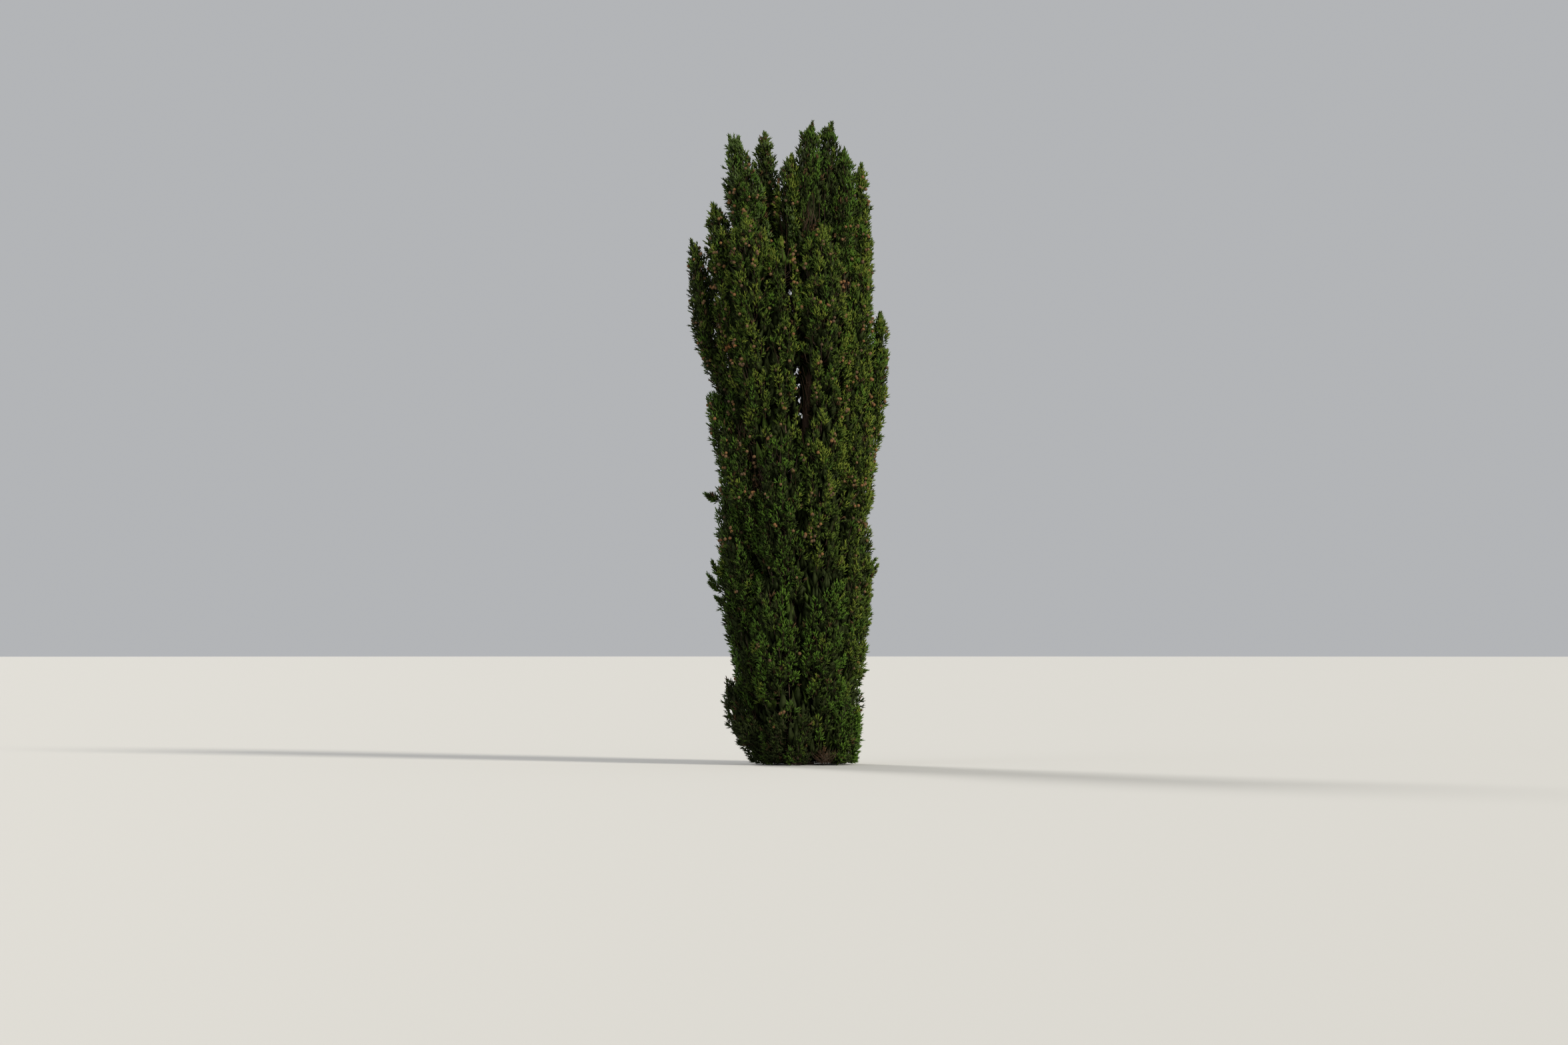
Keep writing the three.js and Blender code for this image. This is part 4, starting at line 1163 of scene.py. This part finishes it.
def spread_sprays(tufts, random):
    """Sprays round each tuft's line, fanned to the side that faces out."""
    count, many = len(tufts["tone"]), SPRAYS_A_TUFT
    share = np.linspace(0, 1, many)
    point, along = tuft_line(tufts, from_to(SPRAY_START, share))
    side = unit(np.cross(along, tufts["outward"][:, None]))
    face = np.cross(side, along)
    turn = ((np.arange(many) * FAN_STEP + random.random((count, 1))) % 1 - 0.5) * 2
    fan = turn * SPRAY_FAN
    away = face * np.cos(fan)[..., None] + side * np.sin(fan)[..., None]
    fine = np.array([FINE_MASSES.get(plume.name, 1) for plume in plumes])[tufts["plume"]]
    spread = from_to(SPRAY_SPREAD, share) * random.uniform(*SPREAD_CHANCE, (count, many))
    spread = spread / fine[:, None] ** 2
    spread[:, -1] = 0
    heading = along * np.cos(spread)[..., None] + away * np.sin(spread)[..., None]
    heading = unit(heading + [0, 0, SPRAY_LIFT])
    offset = from_to(SPRAY_OFFSET, share) * random.uniform(*OFFSET_CHANCE, (count, many))
    root = point + away * offset[..., None]
    size = from_to(SPRAY_LENGTH, share) * random.uniform(*LENGTH_CHANCE, (count, many))
    # A tuft on a rib's crest is painted light and one in a fold painted shade.
    tone = tufts["tone"] * TONE_OF_CHANCE + tufts["rib"] * TONE_OF_RIB + TONE_AT_LEAST
    return dict(root=root.reshape(-1, 3), along=heading.reshape(-1, 3), size=size.ravel(),
                plume=np.repeat(tufts["plume"], many), facing=np.cos(fan.ravel()),
                up=np.tile(share, count), tuft_tone=np.repeat(tone, many),
                hue=np.repeat(tufts["hue"], many), broad=np.zeros(count * many, dtype=bool))


def clear(sprays, shares):
    """Which sprays keep clear of the openings and the floor, and within the crown's reach."""
    run = sprays["along"] * sprays["size"][:, None]
    margin = np.minimum(sprays["size"] * SPRAY_GIRTH, MOST_MARGIN)
    margin = margin * np.where(sprays["broad"], BROAD_MARGIN, 1)
    blocked = np.any([in_opening(sprays["root"] + run * share, margin) for share in shares],
                     axis=0)
    end = sprays["root"] + run
    low = np.minimum(sprays["root"][:, 2], end[:, 2])
    return ~blocked & in_reach(end) & (low > FLOOR_CLEAR / 2)


sprays = spread_sprays(tufts, np.random.default_rng(SPRAY_SEED))
sprays = keep(sprays, clear(sprays, CLEAR_SHARES))
print("sprays", len(sprays["size"]))

# %% [markdown]
# The tint of a spray goes by its tone: how high it stands in its tuft, how squarely it faces
# out, a tone that the whole tuft shares, how high it stands in the tree and a little chance.
# So each tuft is painted light on its crown and painted shade at its foot, sprays that face
# out are painted lighter, the crown is painted a little lighter towards the top, and the tufts
# tell apart. Slow waves over the crown add soft patches, and most masses in front have a small
# shift of their own, read off the photograph: painted shade on the left, at the foot and on the
# second leader behind the first, and a darker tone of their own on the right leaders. The tone
# picks one of four steps from painted shade to painted light, and the mass and the tuft pick
# the hue.

# %% Tone of each spray
# Painted light: a spray high in its tuft, facing out or high in the tree is made lighter.
TONE_OF_UP = 0.33
TONE_OF_FACING = 0.14
TONE_OF_TUFT = 0.29
TONE_OF_HEIGHT = 0.04
TONE_CHANCE = (-0.04, 0.42)
PATCH_TONE = 0.06
PATCH_ACROSS = 95
PATCH_SWAY = 1.3
PATCH_SWAY_RUN = 240
PATCH_UP = 130
PATCH_SLANT = 300
TREE_MIDDLE = 3100
# Painted shade on the left, the foot and the second leader, and the right leaders' own darker
# tone.
TONE_SHIFT = {
    "left_outlier": -0.24, "second_leader": -0.14, "left_flank": -0.14, "left_mid": -0.14,
    "left_leader": -0.06, "left_low": -0.12, "left_lower": -0.12, "foot_left": -0.45,
    "foot_front": -0.30, "low_front_left": 0.02, "mid_front_left": -0.07, "right_twin": -0.20,
    "right_leader": -0.24, "right_shoulder": -0.10, "right_front": -0.04, "foot_right": -0.05,
    "right_low": -0.05, "low_front_right": 0.02,
}


def tone_of(sprays, random):
    """How light each spray is, from about 0 in the shade to 1."""
    height = (sprays["root"][:, 2] - TREE_MIDDLE) / TREE_MIDDLE
    shift = np.array([TONE_SHIFT.get(plume.name, 0) for plume in plumes])[sprays["plume"]]
    x, y, z = sprays["root"].T
    slow = np.sin(x / PATCH_ACROSS + PATCH_SWAY * np.sin(z / PATCH_SWAY_RUN))
    patches = slow * np.sin(z / PATCH_UP + (x + y) / PATCH_SLANT)
    return (TONE_OF_UP * sprays["up"] + TONE_OF_FACING * sprays["facing"]
            + TONE_OF_TUFT * sprays["tuft_tone"] + shift + TONE_OF_HEIGHT * height
            + PATCH_TONE * patches + random.uniform(*TONE_CHANCE, len(height)))


print("masses with a tone of their own", len(TONE_SHIFT))

# %% Deal out the tints
TINT_SEED = 22
TONE_STEPS = [0.30, 0.50, 0.70]
HUE_SHARES = (0.7, 0.3)
FRESH_MASSES = ["right_twin", "right_leader", "right_shoulder"]
GREY_MASSES = ["centre_tip", "left_leader", "second_leader"]
COOL_MASSES = [
    "left_low", "left_lower", "left_mid", "foot_left", "foot_front", "foot_right",
    "low_front_left", "low_front_right", "low_back_left", "mid_front_left", "mid_back_right",
    "left_leader", "right_twin", "right_leader", "right_shoulder",
]
COOL_SHARES = (0.75, 0.3)
GREY_SHARES = (0.6, 0.4)
BROWN_CHANCE = 0.05
HOLLOW_SHADE = 0.6
HOLLOW_KEPT = 0.1
DRY_FOOT_SHARE = 0.5


def numbers(names):
    return [number_of[name] for name in names]


def middles_of(sprays):
    return sprays["root"] + sprays["along"] * sprays["size"][:, None] / 2


def deal_tints(sprays, random):
    """The number of each spray's tint."""
    step = np.digitize(tone_of(sprays, random), TONE_STEPS)
    chance = HUE_SHARES[0] * sprays["hue"] + HUE_SHARES[1] * random.random(len(step))
    cool = np.isin(sprays["plume"], numbers(COOL_MASSES))
    grey = np.isin(sprays["plume"], numbers(GREY_MASSES))
    cool_share = np.where(cool, *COOL_SHARES)
    bright = np.where(chance < cool_share, FRESH, OLIVE)
    bright = np.where(grey & (chance < GREY_SHARES[0]), GREY, bright)
    middle = np.where(chance < cool_share, COOL, GREEN)
    middle = np.where(grey & (chance < GREY_SHARES[1]), GREY, middle)
    none = np.zeros(len(step), dtype=int)
    # The two lowest steps are painted shade and the top step painted light.
    tint = np.choose(step, [none + SHADE, none + HALF_SHADE, middle, bright])
    tint[(step <= 1) & (random.random(len(step)) < BROWN_CHANCE)] = BROWN
    middles = middles_of(sprays)
    hollow = in_hollow(middles, HOLLOWS)
    # Sprays left in a hollow are painted shade, and some are dry brown.
    tint[hollow] = np.where(chance[hollow] < HOLLOW_SHADE, SHADE, BROWN)
    tint[in_hollow(middles, [DEAD_SPRAY])] = RUST
    tint[in_hollow(middles, [DRY_FOOT]) & (chance < DRY_FOOT_SHARE)] = BROWN
    return tint


def set_back(sprays):
    """In a hollow only the lowest spray of each tuft is left, and in a pocket none is."""
    middles = middles_of(sprays)
    pocket = in_hollow(middles, POCKETS)
    return ~pocket & (~in_hollow(middles, HOLLOWS) | (sprays["up"] < HOLLOW_KEPT))


sprays = keep(sprays, set_back(sprays))
tints = deal_tints(sprays, np.random.default_rng(TINT_SEED))
dealt = np.bincount(tints, minlength=len(LEAF_TINTS))
print("sprays of each tint", dict(zip(LEAF_TINTS, dealt.tolist())))

# %% [markdown]
# Behind the tufts the crown has to be closed, or light would glitter through it from behind.
# Little light falls that far in, so a looser layer of broad sprays is enough, all in painted
# shade. Nine more plumes of them, the hearts, stand round the trunk and between the larger
# boughs, where the twigs of all the masses begin. A mass that stands alone gets a closer layer
# of its own.

# %% The hearts of the crown
HEART_ROWS = [
    ("trunk_heart", 170, 1.1, 0.5, 0.8, 0.6, (10, 60, 150), (50, 90, 2800), (215, 90, 5300)),
    ("fork_heart", 105, 1.3, 0.5, 0.8, 0.6,
     (-80, 70, 3900), (-110, 90, 4700), (-100, 70, 5560)),
    ("left_heart", 120, 1.2, 0.5, 0.8, 0.6,
     (-230, 60, 3300), (-300, 80, 4500), (-330, 90, 5620)),
    ("low_left_heart", 150, 1.5, 0.5, 0.9, 0.5,
     (-200, 30, 150), (-330, 30, 1200), (-530, 0, 2700)),
    ("low_right_heart", 150, 1.5, 0.5, 0.9, 0.5,
     (220, 30, 150), (340, 30, 1200), (440, 20, 2800)),
    ("low_mid_heart", 110, 1.5, 0.5, 0.9, 0.5,
     (-90, 60, 150), (-120, 60, 1500), (-190, 60, 2900)),
    ("left_waist_heart", 80, 1.5, 0.5, 0.9, 0.6,
     (-640, 0, 3150), (-740, 0, 3600), (-770, 0, 4050)),
    ("mid_left_heart", 130, 1.5, 0.5, 0.9, 0.5,
     (-300, 40, 2000), (-400, 30, 3000), (-590, 0, 4300)),
    ("mid_right_heart", 140, 1.5, 0.5, 0.9, 0.5,
     (260, 40, 1900), (400, 30, 3100), (450, 20, 4700)),
]
heart_plumes = [Plume(dict(zip(PLUME_COLUMNS, row))) for row in HEART_ROWS]
print("hearts", [plume.name for plume in heart_plumes])

# %% Grow the inner leaves
INNER_AREA = 13500
INNER_SIZES = (170, 290)
INNER_PROUD = (-20, 5)
INNER_ROOT = 0.4
INNER_OUT = 0.60
INNER_BURIED = 130
INNER_GIRTH = 170
INNER_SHORT = 60
INNER_ROOM = 450
ALONE = ("left_leader", "second_leader", "centre_tip", "right_twin", "right_leader",
         "right_shoulder", "far_right_leader", "left_outlier", "right_outlier", "left_flank",
         "foot_left", "left_mid", "left_low", "foot_right", "mid_back_right",
         "low_back_right", "right_mid", "right_low", "low_back_left")
ALONE_AREA = 0.42
ALONE_ROOM = 0.55
# The sprays of the hearts go into the piece of the crown that holds this mass.
HEARTS_WITH = "mid_back_right"


def grow_inner(number, plume, area, out_share):
    """Single broad sprays inside a mass, finer in a slim one and shorter near its tip."""
    small = min(1, plume.row["girth"] / INNER_GIRTH)
    area = area * (ALONE_AREA if plume.name in ALONE else 1)
    sizes = np.array(INNER_SIZES) * small
    rows = grow_tufts(number, plume, area * small, sizes, INNER_PROUD, INNER_ROOT, out_share,
                      INNER_SHORT)
    below_tip = np.linalg.norm(rows["tip"] - plume.tip, axis=1, keepdims=True)
    room = np.clip(below_tip / INNER_ROOM, ALONE_ROOM if plume.name in ALONE else 1, 1)
    rows["root"] = rows["tip"] + (rows["root"] - rows["tip"]) * room
    return rows


hearts = together([grow_inner(i, plume, INNER_AREA / 2, 1)
                   for i, plume in enumerate(heart_plumes, start=len(plumes))])
hearts["plume"][:] = number_of[HEARTS_WITH]
inner = together([grow_inner(i, plume, INNER_AREA, INNER_OUT) for i, plume in enumerate(plumes)])
inner = together([keep(inner, not_buried(inner, INNER_BURIED)), hearts])
print("broad sprays before the openings", len(inner["tone"]))

# %% Keep the inner leaves out of the openings
INNER_SHARES = (0, 0.2, 0.4, 0.6, 0.8, 1)
INNER_LIT = 0.16


def inner_sprays(inner):
    """Each inner tuft as one broad spray from its root to its tip."""
    run = inner["tip"] - inner["root"]
    length = np.linalg.norm(run, axis=1)
    count = len(length)
    return dict(root=inner["root"], along=run / length[:, None], size=length,
                plume=inner["plume"], facing=np.zeros(count), up=np.zeros(count),
                tuft_tone=inner["tone"], hue=inner["hue"], broad=np.ones(count, dtype=bool))


dark = inner_sprays(inner)
dark = keep(dark, clear(dark, INNER_SHARES))
# The inner layer is painted shade, a few of its sprays at half shade.
dark_tints = np.where(dark["tuft_tone"] < INNER_LIT, HALF_SHADE, SHADE)
# In a hollow or a pocket all of it is painted shade.
dark_tints[in_hollow(middles_of(dark), HOLLOWS + POCKETS)] = SHADE
print("inner sprays", len(dark_tints))

# %% [markdown]
# The spurs are the few twigs that break the smooth outline. Each starts at its mass's axis,
# sags a little and turns up, with small upright sprays on the part that is out in the light.

# %% Grow the spurs
SPUR_SEED = 23
SPUR_BEND = 0.6
SPUR_SAG = 0.15
SPUR_END = 0.90
SPUR_START = 0.42
SPUR_SPRAYS = 26
SPUR_LEAN = (0.95, 0.30)
SPUR_LIFT = 0.55
SPUR_LENGTH = (80, 58)
SPUR_CHANCE = (0.75, 1.2)
SPUR_UP = (0.2, 1)
SPUR_TONES = (0.2, 0.9)


def spur_line(mass, tip, rise):
    """Three points: on the mass's axis, at the sag, and just short of the spur's tip."""
    plume = plumes[number_of[mass]]
    tip = np.array(tip, float)
    knots = plume.centre(np.linspace(0, 1, AXIS_KNOTS + 1))
    root = knots[np.argmin(np.abs(knots[:, 2] - (tip[2] - rise)))]
    bend = root + (tip - root) * SPUR_BEND - [0, 0, rise * SPUR_SAG]
    return np.array([root, bend, root + (tip - root) * SPUR_END])


def dress_spur(line, number, random):
    """Sprays round the outer part of a spur, spread at first and closing at its tip."""
    order = np.linspace(0, 1, SPUR_SPRAYS)
    points = spline(line, from_to((SPUR_START, 1), order))
    along, across, third = directions(points, level_across(line[-1] - line[0]))
    turn = (np.arange(SPUR_SPRAYS) * GOLDEN_ANGLE)[:, None]
    lean = from_to(SPUR_LEAN, order)[:, None]
    heading = unit(along * np.cos(lean) + (across * np.cos(turn) + third * np.sin(turn))
                   * np.sin(lean) + [0, 0, SPUR_LIFT])
    size = from_to(SPUR_LENGTH, order) * random.uniform(*SPUR_CHANCE, SPUR_SPRAYS)
    return dict(root=points, along=heading, size=size, plume=np.full(SPUR_SPRAYS, number),
                facing=np.zeros(SPUR_SPRAYS), up=random.uniform(*SPUR_UP, SPUR_SPRAYS),
                tuft_tone=random.uniform(*SPUR_TONES, SPUR_SPRAYS),
                hue=random.random(SPUR_SPRAYS), broad=np.zeros(SPUR_SPRAYS, dtype=bool))


spur_lines = [spur_line(*spur) for spur in SPURS]
spur_random = np.random.default_rng(SPUR_SEED)
spur_sprays = together([dress_spur(line, number_of[spur[0]], spur_random)
                        for line, spur in zip(spur_lines, SPURS)])
spur_tints = deal_tints(spur_sprays, spur_random)
print("spur sprays", len(spur_tints))

# %% [markdown]
# All the sprays of one stretch of the crown are joined into one mesh. Its points and faces go
# in as arrays in one step, because making an object for each of forty thousand sprays would
# take Blender minutes. A mesh is closed off before it reaches two hundred thousand triangles.

# %% Points and faces into one mesh
LOWEST_POINT = 1


def mesh_from(name, points, triangles, slots, materials):
    """An object of these triangles. Each has the number of its material in slots."""
    points = np.maximum(points, [-np.inf, -np.inf, LOWEST_POINT])
    mesh = bpy.data.meshes.new(name)
    mesh.vertices.add(len(points))
    mesh.vertices.foreach_set("co", (points * MM).ravel())
    mesh.loops.add(triangles.size)
    mesh.loops.foreach_set("vertex_index", triangles.ravel())
    mesh.polygons.add(len(triangles))
    mesh.polygons.foreach_set("loop_start", np.arange(0, triangles.size, 3))
    for material in materials:
        mesh.materials.append(material)
    mesh.polygons.foreach_set("material_index", slots)
    mesh.polygons.foreach_set("use_smooth", np.ones(len(triangles), dtype=bool))
    mesh.update(calc_edges=True)
    piece = bpy.data.objects.new(name, mesh)
    bpy.context.collection.objects.link(piece)
    return piece


print("no point lies lower than", LOWEST_POINT, "mm")

# %% Join sprays into pieces of the crown
PIECE_SEED = 25
PIECE_LIMIT = 190_000
leaves = together([sprays, spur_sprays, dark])
leaf_tints = np.concatenate([tints, spur_tints, dark_tints])


def grow_shapes(shapes, kind, rows, tints, random):
    """Points, triangles and tints of all the copies. Each row has the shape of its kind."""
    roll = random.normal(size=(len(tints), 3))
    across = unit(np.cross(rows["along"], roll))
    third = np.cross(across, rows["along"])
    points, triangles, slots, first = [], [], [], 0
    for number, shape in enumerate(shapes):
        mine = kind == number
        size = rows["size"][mine]
        placed, faces = repeat(shape, rows["root"][mine], across[mine], third[mine],
                               rows["along"][mine], size, size)
        points.append(placed)
        triangles.append(faces + first)
        slots.append(np.repeat(tints[mine], len(shape[1])))
        first += len(placed)
    return np.concatenate(points), np.concatenate(triangles), np.concatenate(slots)


def crown_groups(leaves):
    """Masses gathered in the table's order, each group within one piece's limit."""
    each = np.where(leaves["broad"], broad_faces, spray_faces)
    faces = np.bincount(leaves["plume"], weights=each, minlength=len(plumes))
    groups, total = [[]], 0
    for number, many in enumerate(faces):
        if total + many > PIECE_LIMIT:
            groups.append([])
            total = 0
        groups[-1].append(number)
        total += many
    return groups


piece_random = np.random.default_rng(PIECE_SEED)
for place, group in enumerate(crown_groups(leaves), start=1):
    mine = np.isin(leaves["plume"], group)
    kind = piece_random.integers(0, SPRAY_KINDS, mine.sum())
    kind = np.where(leaves["broad"][mine], SPRAY_KINDS + kind % BROAD_KINDS, kind)
    grown = grow_shapes(spray_shapes + broad_shapes, kind, keep(leaves, mine),
                        leaf_tints[mine], piece_random)
    crown = mesh_from(f"sprays_{place}", *grown, leaf_materials)
    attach(crown, "root")
    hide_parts(*[f"foliage_{plumes[number].name}" for number in group])
    print(crown.name, len(crown.data.polygons), "faces")

# %% [markdown]
# Each tuft hangs on a twig of its own, which leaves the stem below it and runs up its middle.
# The twigs show brown wherever the crown is thin. A bevelled curve for each of a few thousand
# would be slow, so they are rings of three points, joined into tubes that thin out and are
# closed at both ends.

# %% Rings into tubes
# A direction that no twig runs along, to turn the rings by.
OFF_EVERY_TWIG = (0.31, 0.95, 0.1)


def tubes(lines, radii, sides):
    """One tapering tube along each row of points, closed at both ends."""
    along = unit(np.gradient(lines, axis=1))
    across = unit(np.cross(along, OFF_EVERY_TWIG))
    third = np.cross(across, along)
    angle = np.arange(sides) / sides * 2 * math.pi
    ring = (across[:, :, None] * np.cos(angle)[:, None] + third[:, :, None]
            * np.sin(angle)[:, None])
    points = lines[:, :, None] + ring * radii[..., None, None]
    rows, rings = lines.shape[:2]
    first = (np.arange(rows) * rings * sides)[:, None, None]
    ring_start = (np.arange(rings - 1) * sides)[None, :, None]
    side, following = np.arange(sides), (np.arange(sides) + 1) % sides
    a = first + ring_start + side
    b = first + ring_start + following
    lower = np.stack([a, a + sides, b], axis=-1).reshape(-1, 3)
    upper = np.stack([b, a + sides, b + sides], axis=-1).reshape(-1, 3)
    fan = np.stack([np.zeros(sides - 2, dtype=int), side[1:-1], side[2:]], axis=1)
    feet = (first + fan).reshape(-1, 3)
    tips = (first + (rings - 1) * sides + fan[:, ::-1]).reshape(-1, 3)
    return points.reshape(-1, 3), np.concatenate([lower, upper, feet, tips])


one_tube = tubes(np.array([[[0.0, 0, 0], [0, 0, 50]]]), np.array([[3.0, 1.0]]), 3)
print("a tube of two rings has", len(one_tube[1]), "faces")

# %% Lines of the twigs
TWIG_END = 0.8
DRY_TWIGS = 34
DRY_TWIG_FOOT = (235, -430, 20)
DRY_TWIG_SPREAD = 60
DRY_TWIG_FLAT = (1, 0.6, 0.2)
DRY_TWIG_TURN = 0.9
DRY_TWIG_FORWARD = (-0.5, -0.1)
DRY_TWIG_LENGTH = (90, 170)
DRY_TWIG_KINK = 0.2
HOLLOW_TWIGS = 13
HOLLOW_NEAR = (2, 1.5)
HOLLOW_FRONT = 12
HOLLOW_DEPTH = (50, 110)
HOLLOW_FEET = (0.3, 1.2)
HOLLOW_RISE = (0.7, 1.5)
HOLLOW_ASIDE = 60
HOLLOW_OUT = (-40, 10)
HOLLOW_KINK = 16


def twig_lines(tufts):
    """One line of three points a tuft: on the mass's axis, at the root and near the tip."""
    top, _ = tuft_line(tufts, np.array([TWIG_END]))
    return np.stack([tufts["spine"], tufts["root"], top[:, 0]], axis=1)


def dry_twigs(random):
    """A fan of dead twigs at the foot of the tree, on the right of the front."""
    turn = random.uniform(-DRY_TWIG_TURN, DRY_TWIG_TURN, DRY_TWIGS)
    length = random.uniform(*DRY_TWIG_LENGTH, DRY_TWIGS)
    heading = unit(np.stack([np.sin(turn), random.uniform(*DRY_TWIG_FORWARD, DRY_TWIGS),
                             np.cos(turn)], axis=1))
    spread = random.uniform(-DRY_TWIG_SPREAD, DRY_TWIG_SPREAD, (DRY_TWIGS, 3))
    start = np.array(DRY_TWIG_FOOT) + spread * DRY_TWIG_FLAT
    middle = start + heading * length[:, None] * 0.5
    kink = random.uniform(-DRY_TWIG_KINK, DRY_TWIG_KINK, (DRY_TWIGS, 3))
    end = start + (heading + kink) * length[:, None]
    return np.stack([start, middle, end], axis=1)


def hollow_twigs(random):
    """Bare twigs that rise at the back of each hollow in the front of the crown."""
    lines = []
    for x, z, half_width, half_height in HOLLOWS + [TRUNK_HOLLOW]:
        wide, tall = HOLLOW_NEAR
        near = in_hollow(tufts["tip"], [(x, z, half_width * wide, half_height * tall)])
        front = np.sort(tufts["tip"][near, 1])[:HOLLOW_FRONT].mean()
        count = HOLLOW_TWIGS
        foot = np.stack([x + random.uniform(-1, 1, count) * half_width,
                         front + random.uniform(*HOLLOW_DEPTH, count),
                         z - random.uniform(*HOLLOW_FEET, count) * half_height], axis=1)
        run = np.stack([random.uniform(-HOLLOW_ASIDE, HOLLOW_ASIDE, count),
                        random.uniform(*HOLLOW_OUT, count),
                        random.uniform(*HOLLOW_RISE, count) * half_height], axis=1)
        kink = random.uniform(-HOLLOW_KINK, HOLLOW_KINK, (count, 3))
        middle = foot + run / 2 + kink
        lines.append(np.stack([foot, middle, foot + run], axis=1))
    return np.concatenate(lines)


print("twigs", len(tufts["tone"]), "in tufts and", DRY_TWIGS, "dry ones at the foot")

# %% Join the twigs
TWIG_RADII = np.array([4.6, 3.0, 0.8])
TWIG_SIDES = 3
SPUR_RADII = (5, 2)
SPUR_RINGS = 5
DRY_TWIG_SEED = 28
DRY_TWIG_GIRTH = 0.7
HOLLOW_SEED = 29
GREY_TWIG_SEED = 26
GREY_TWIG_SHARE = 0.3


def with_radii(lines, radii):
    return tubes(lines, np.tile(radii, (len(lines), 1)), TWIG_SIDES)


spur_curves = np.array([spline(line, np.linspace(0, 1, SPUR_RINGS)) for line in spur_lines])
twig_parts = [
    with_radii(twig_lines(tufts), TWIG_RADII),
    with_radii(spur_curves, np.linspace(*SPUR_RADII, SPUR_RINGS)),
    with_radii(dry_twigs(np.random.default_rng(DRY_TWIG_SEED)), TWIG_RADII * DRY_TWIG_GIRTH),
    with_radii(hollow_twigs(np.random.default_rng(HOLLOW_SEED)), TWIG_RADII),
]
firsts = np.cumsum([0] + [len(points) for points, _ in twig_parts])
points = np.concatenate([points for points, _ in twig_parts])
triangles = np.concatenate([part[1] + first for part, first in zip(twig_parts, firsts)])
grey_chance = np.random.default_rng(GREY_TWIG_SEED).random(len(triangles))
grey_twig = (grey_chance < GREY_TWIG_SHARE).astype(int)
twigs = mesh_from("twigs", points, triangles, grey_twig, twig_materials)
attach(twigs, "root")
print("twig faces", len(twigs.data.polygons))

# %% [markdown]
# The cone of a cypress is a woody ball of about a dozen shields, each with a small boss in its
# middle. The twelve points of a plain icosphere stand where the bosses are. Poking its faces
# adds the corners where three shields meet, and those stay a little lower than the bosses. A
# cone is about five pixels wide in the photograph, so sixty faces are enough.

# %% Model one cone
CONE_RADIUS = 16.5
SEAM_RISE = 0.10
CONE_TALL = 1.08

bpy.ops.object.select_all(action="DESELECT")
bpy.ops.mesh.primitive_ico_sphere_add(subdivisions=1, radius=1)
cone = bpy.context.object
bpy.ops.object.mode_set(mode="EDIT")
bpy.ops.mesh.select_all(action="SELECT")
bpy.ops.mesh.poke(offset=SEAM_RISE)
bpy.ops.mesh.select_all(action="SELECT")
bpy.ops.transform.resize(value=(1, 1, CONE_TALL))
bpy.ops.object.mode_set(mode="OBJECT")
cone_shape = read_shape(cone)
print("cone faces", len(cone_shape[1]))

# %% [markdown]
# The cones sit singly or in clusters of up to four on the outer side of a tuft. There are none
# on the fresh top of the right half and few on the lowest third, apart from one patch near the
# foot, as in the photograph. None hang in a pocket or in an opening.

# %% Choose the tufts that bear cones
CONE_SEED = 27
CONE_CHANCE = 0.33
CONE_PATCH = (-115, 570, 170, 110)
CONE_PATCH_CHANCE = 0.5
CONE_LOW = (600, 3400)
CONE_TOP = 5800
CONE_TOP_FRESH = 5270


def choose_cone_tufts(tufts, random):
    height = tufts["tip"][:, 2]
    top = np.where(np.isin(tufts["plume"], numbers(FRESH_MASSES)), CONE_TOP_FRESH, CONE_TOP)
    rise = (height - CONE_LOW[0]) / (CONE_LOW[1] - CONE_LOW[0])
    chance = CONE_CHANCE * np.clip(rise, 0, 1)
    chance[in_hollow(tufts["tip"], [CONE_PATCH])] = CONE_PATCH_CHANCE
    pocket = in_hollow(tufts["tip"], POCKETS)
    return (random.random(len(height)) < chance) & (height < top) & ~pocket


cone_random = np.random.default_rng(CONE_SEED)
cone_tufts = keep(tufts, choose_cone_tufts(tufts, cone_random))
print("tufts with cones", len(cone_tufts["tone"]))

# %% Hang the cones
CLUSTER_SIZES = [1, 2, 3, 4]
CLUSTER_CHANCES = [0.5, 0.3, 0.14, 0.06]
CLUSTER_SPREAD = 20
CONE_SHARE = (0.3, 0.9)
CONE_OUT = (70, 32)
CONE_OUT_CHANCE = (0.85, 1.15)
CONE_DROOP = 0.5
CONE_SIZES = (0.85, 1.1)
CONE_TINT_CHANCES = [0.5, 0.3, 0.2]


def hang_cones(chosen, random):
    """Where each cone's middle is, and which way is outwards there."""
    many = random.choice(CLUSTER_SIZES, len(chosen["tone"]), p=CLUSTER_CHANCES)
    at = np.repeat(np.arange(len(many)), many)
    share = random.uniform(*CONE_SHARE, len(many))[:, None]
    base = chosen["root"] + (chosen["tip"] - chosen["root"]) * share
    out = from_to(CONE_OUT, share) * random.uniform(*CONE_OUT_CHANCE, (len(many), 1))
    base = base + chosen["outward"] * out
    outward = chosen["outward"][at]
    aside = random.normal(size=(len(at), 3)) * CLUSTER_SPREAD * (many[at] > 1)[:, None]
    aside = aside - outward * (aside * outward).sum(axis=1)[:, None]
    return base[at] + aside, outward


cone_places, cone_facing = hang_cones(cone_tufts, cone_random)
seen = ~in_opening(cone_places, CONE_RADIUS) & in_reach(cone_places)
cone_places, cone_facing = cone_places[seen], cone_facing[seen]
cone_rows = dict(root=cone_places, along=unit(cone_facing - [0, 0, CONE_DROOP]),
                 size=CONE_RADIUS * cone_random.uniform(*CONE_SIZES, len(cone_places)))
cone_tints = cone_random.choice(len(CONE_TINTS), len(cone_places), p=CONE_TINT_CHANCES)
one_kind = np.zeros(len(cone_tints), dtype=int)
grown = grow_shapes([cone_shape], one_kind, cone_rows, cone_tints, cone_random)
cones = mesh_from("cones", *grown, cone_materials)
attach(cones, "root")
print("cones", len(cone_places), "faces", len(cones.data.polygons))
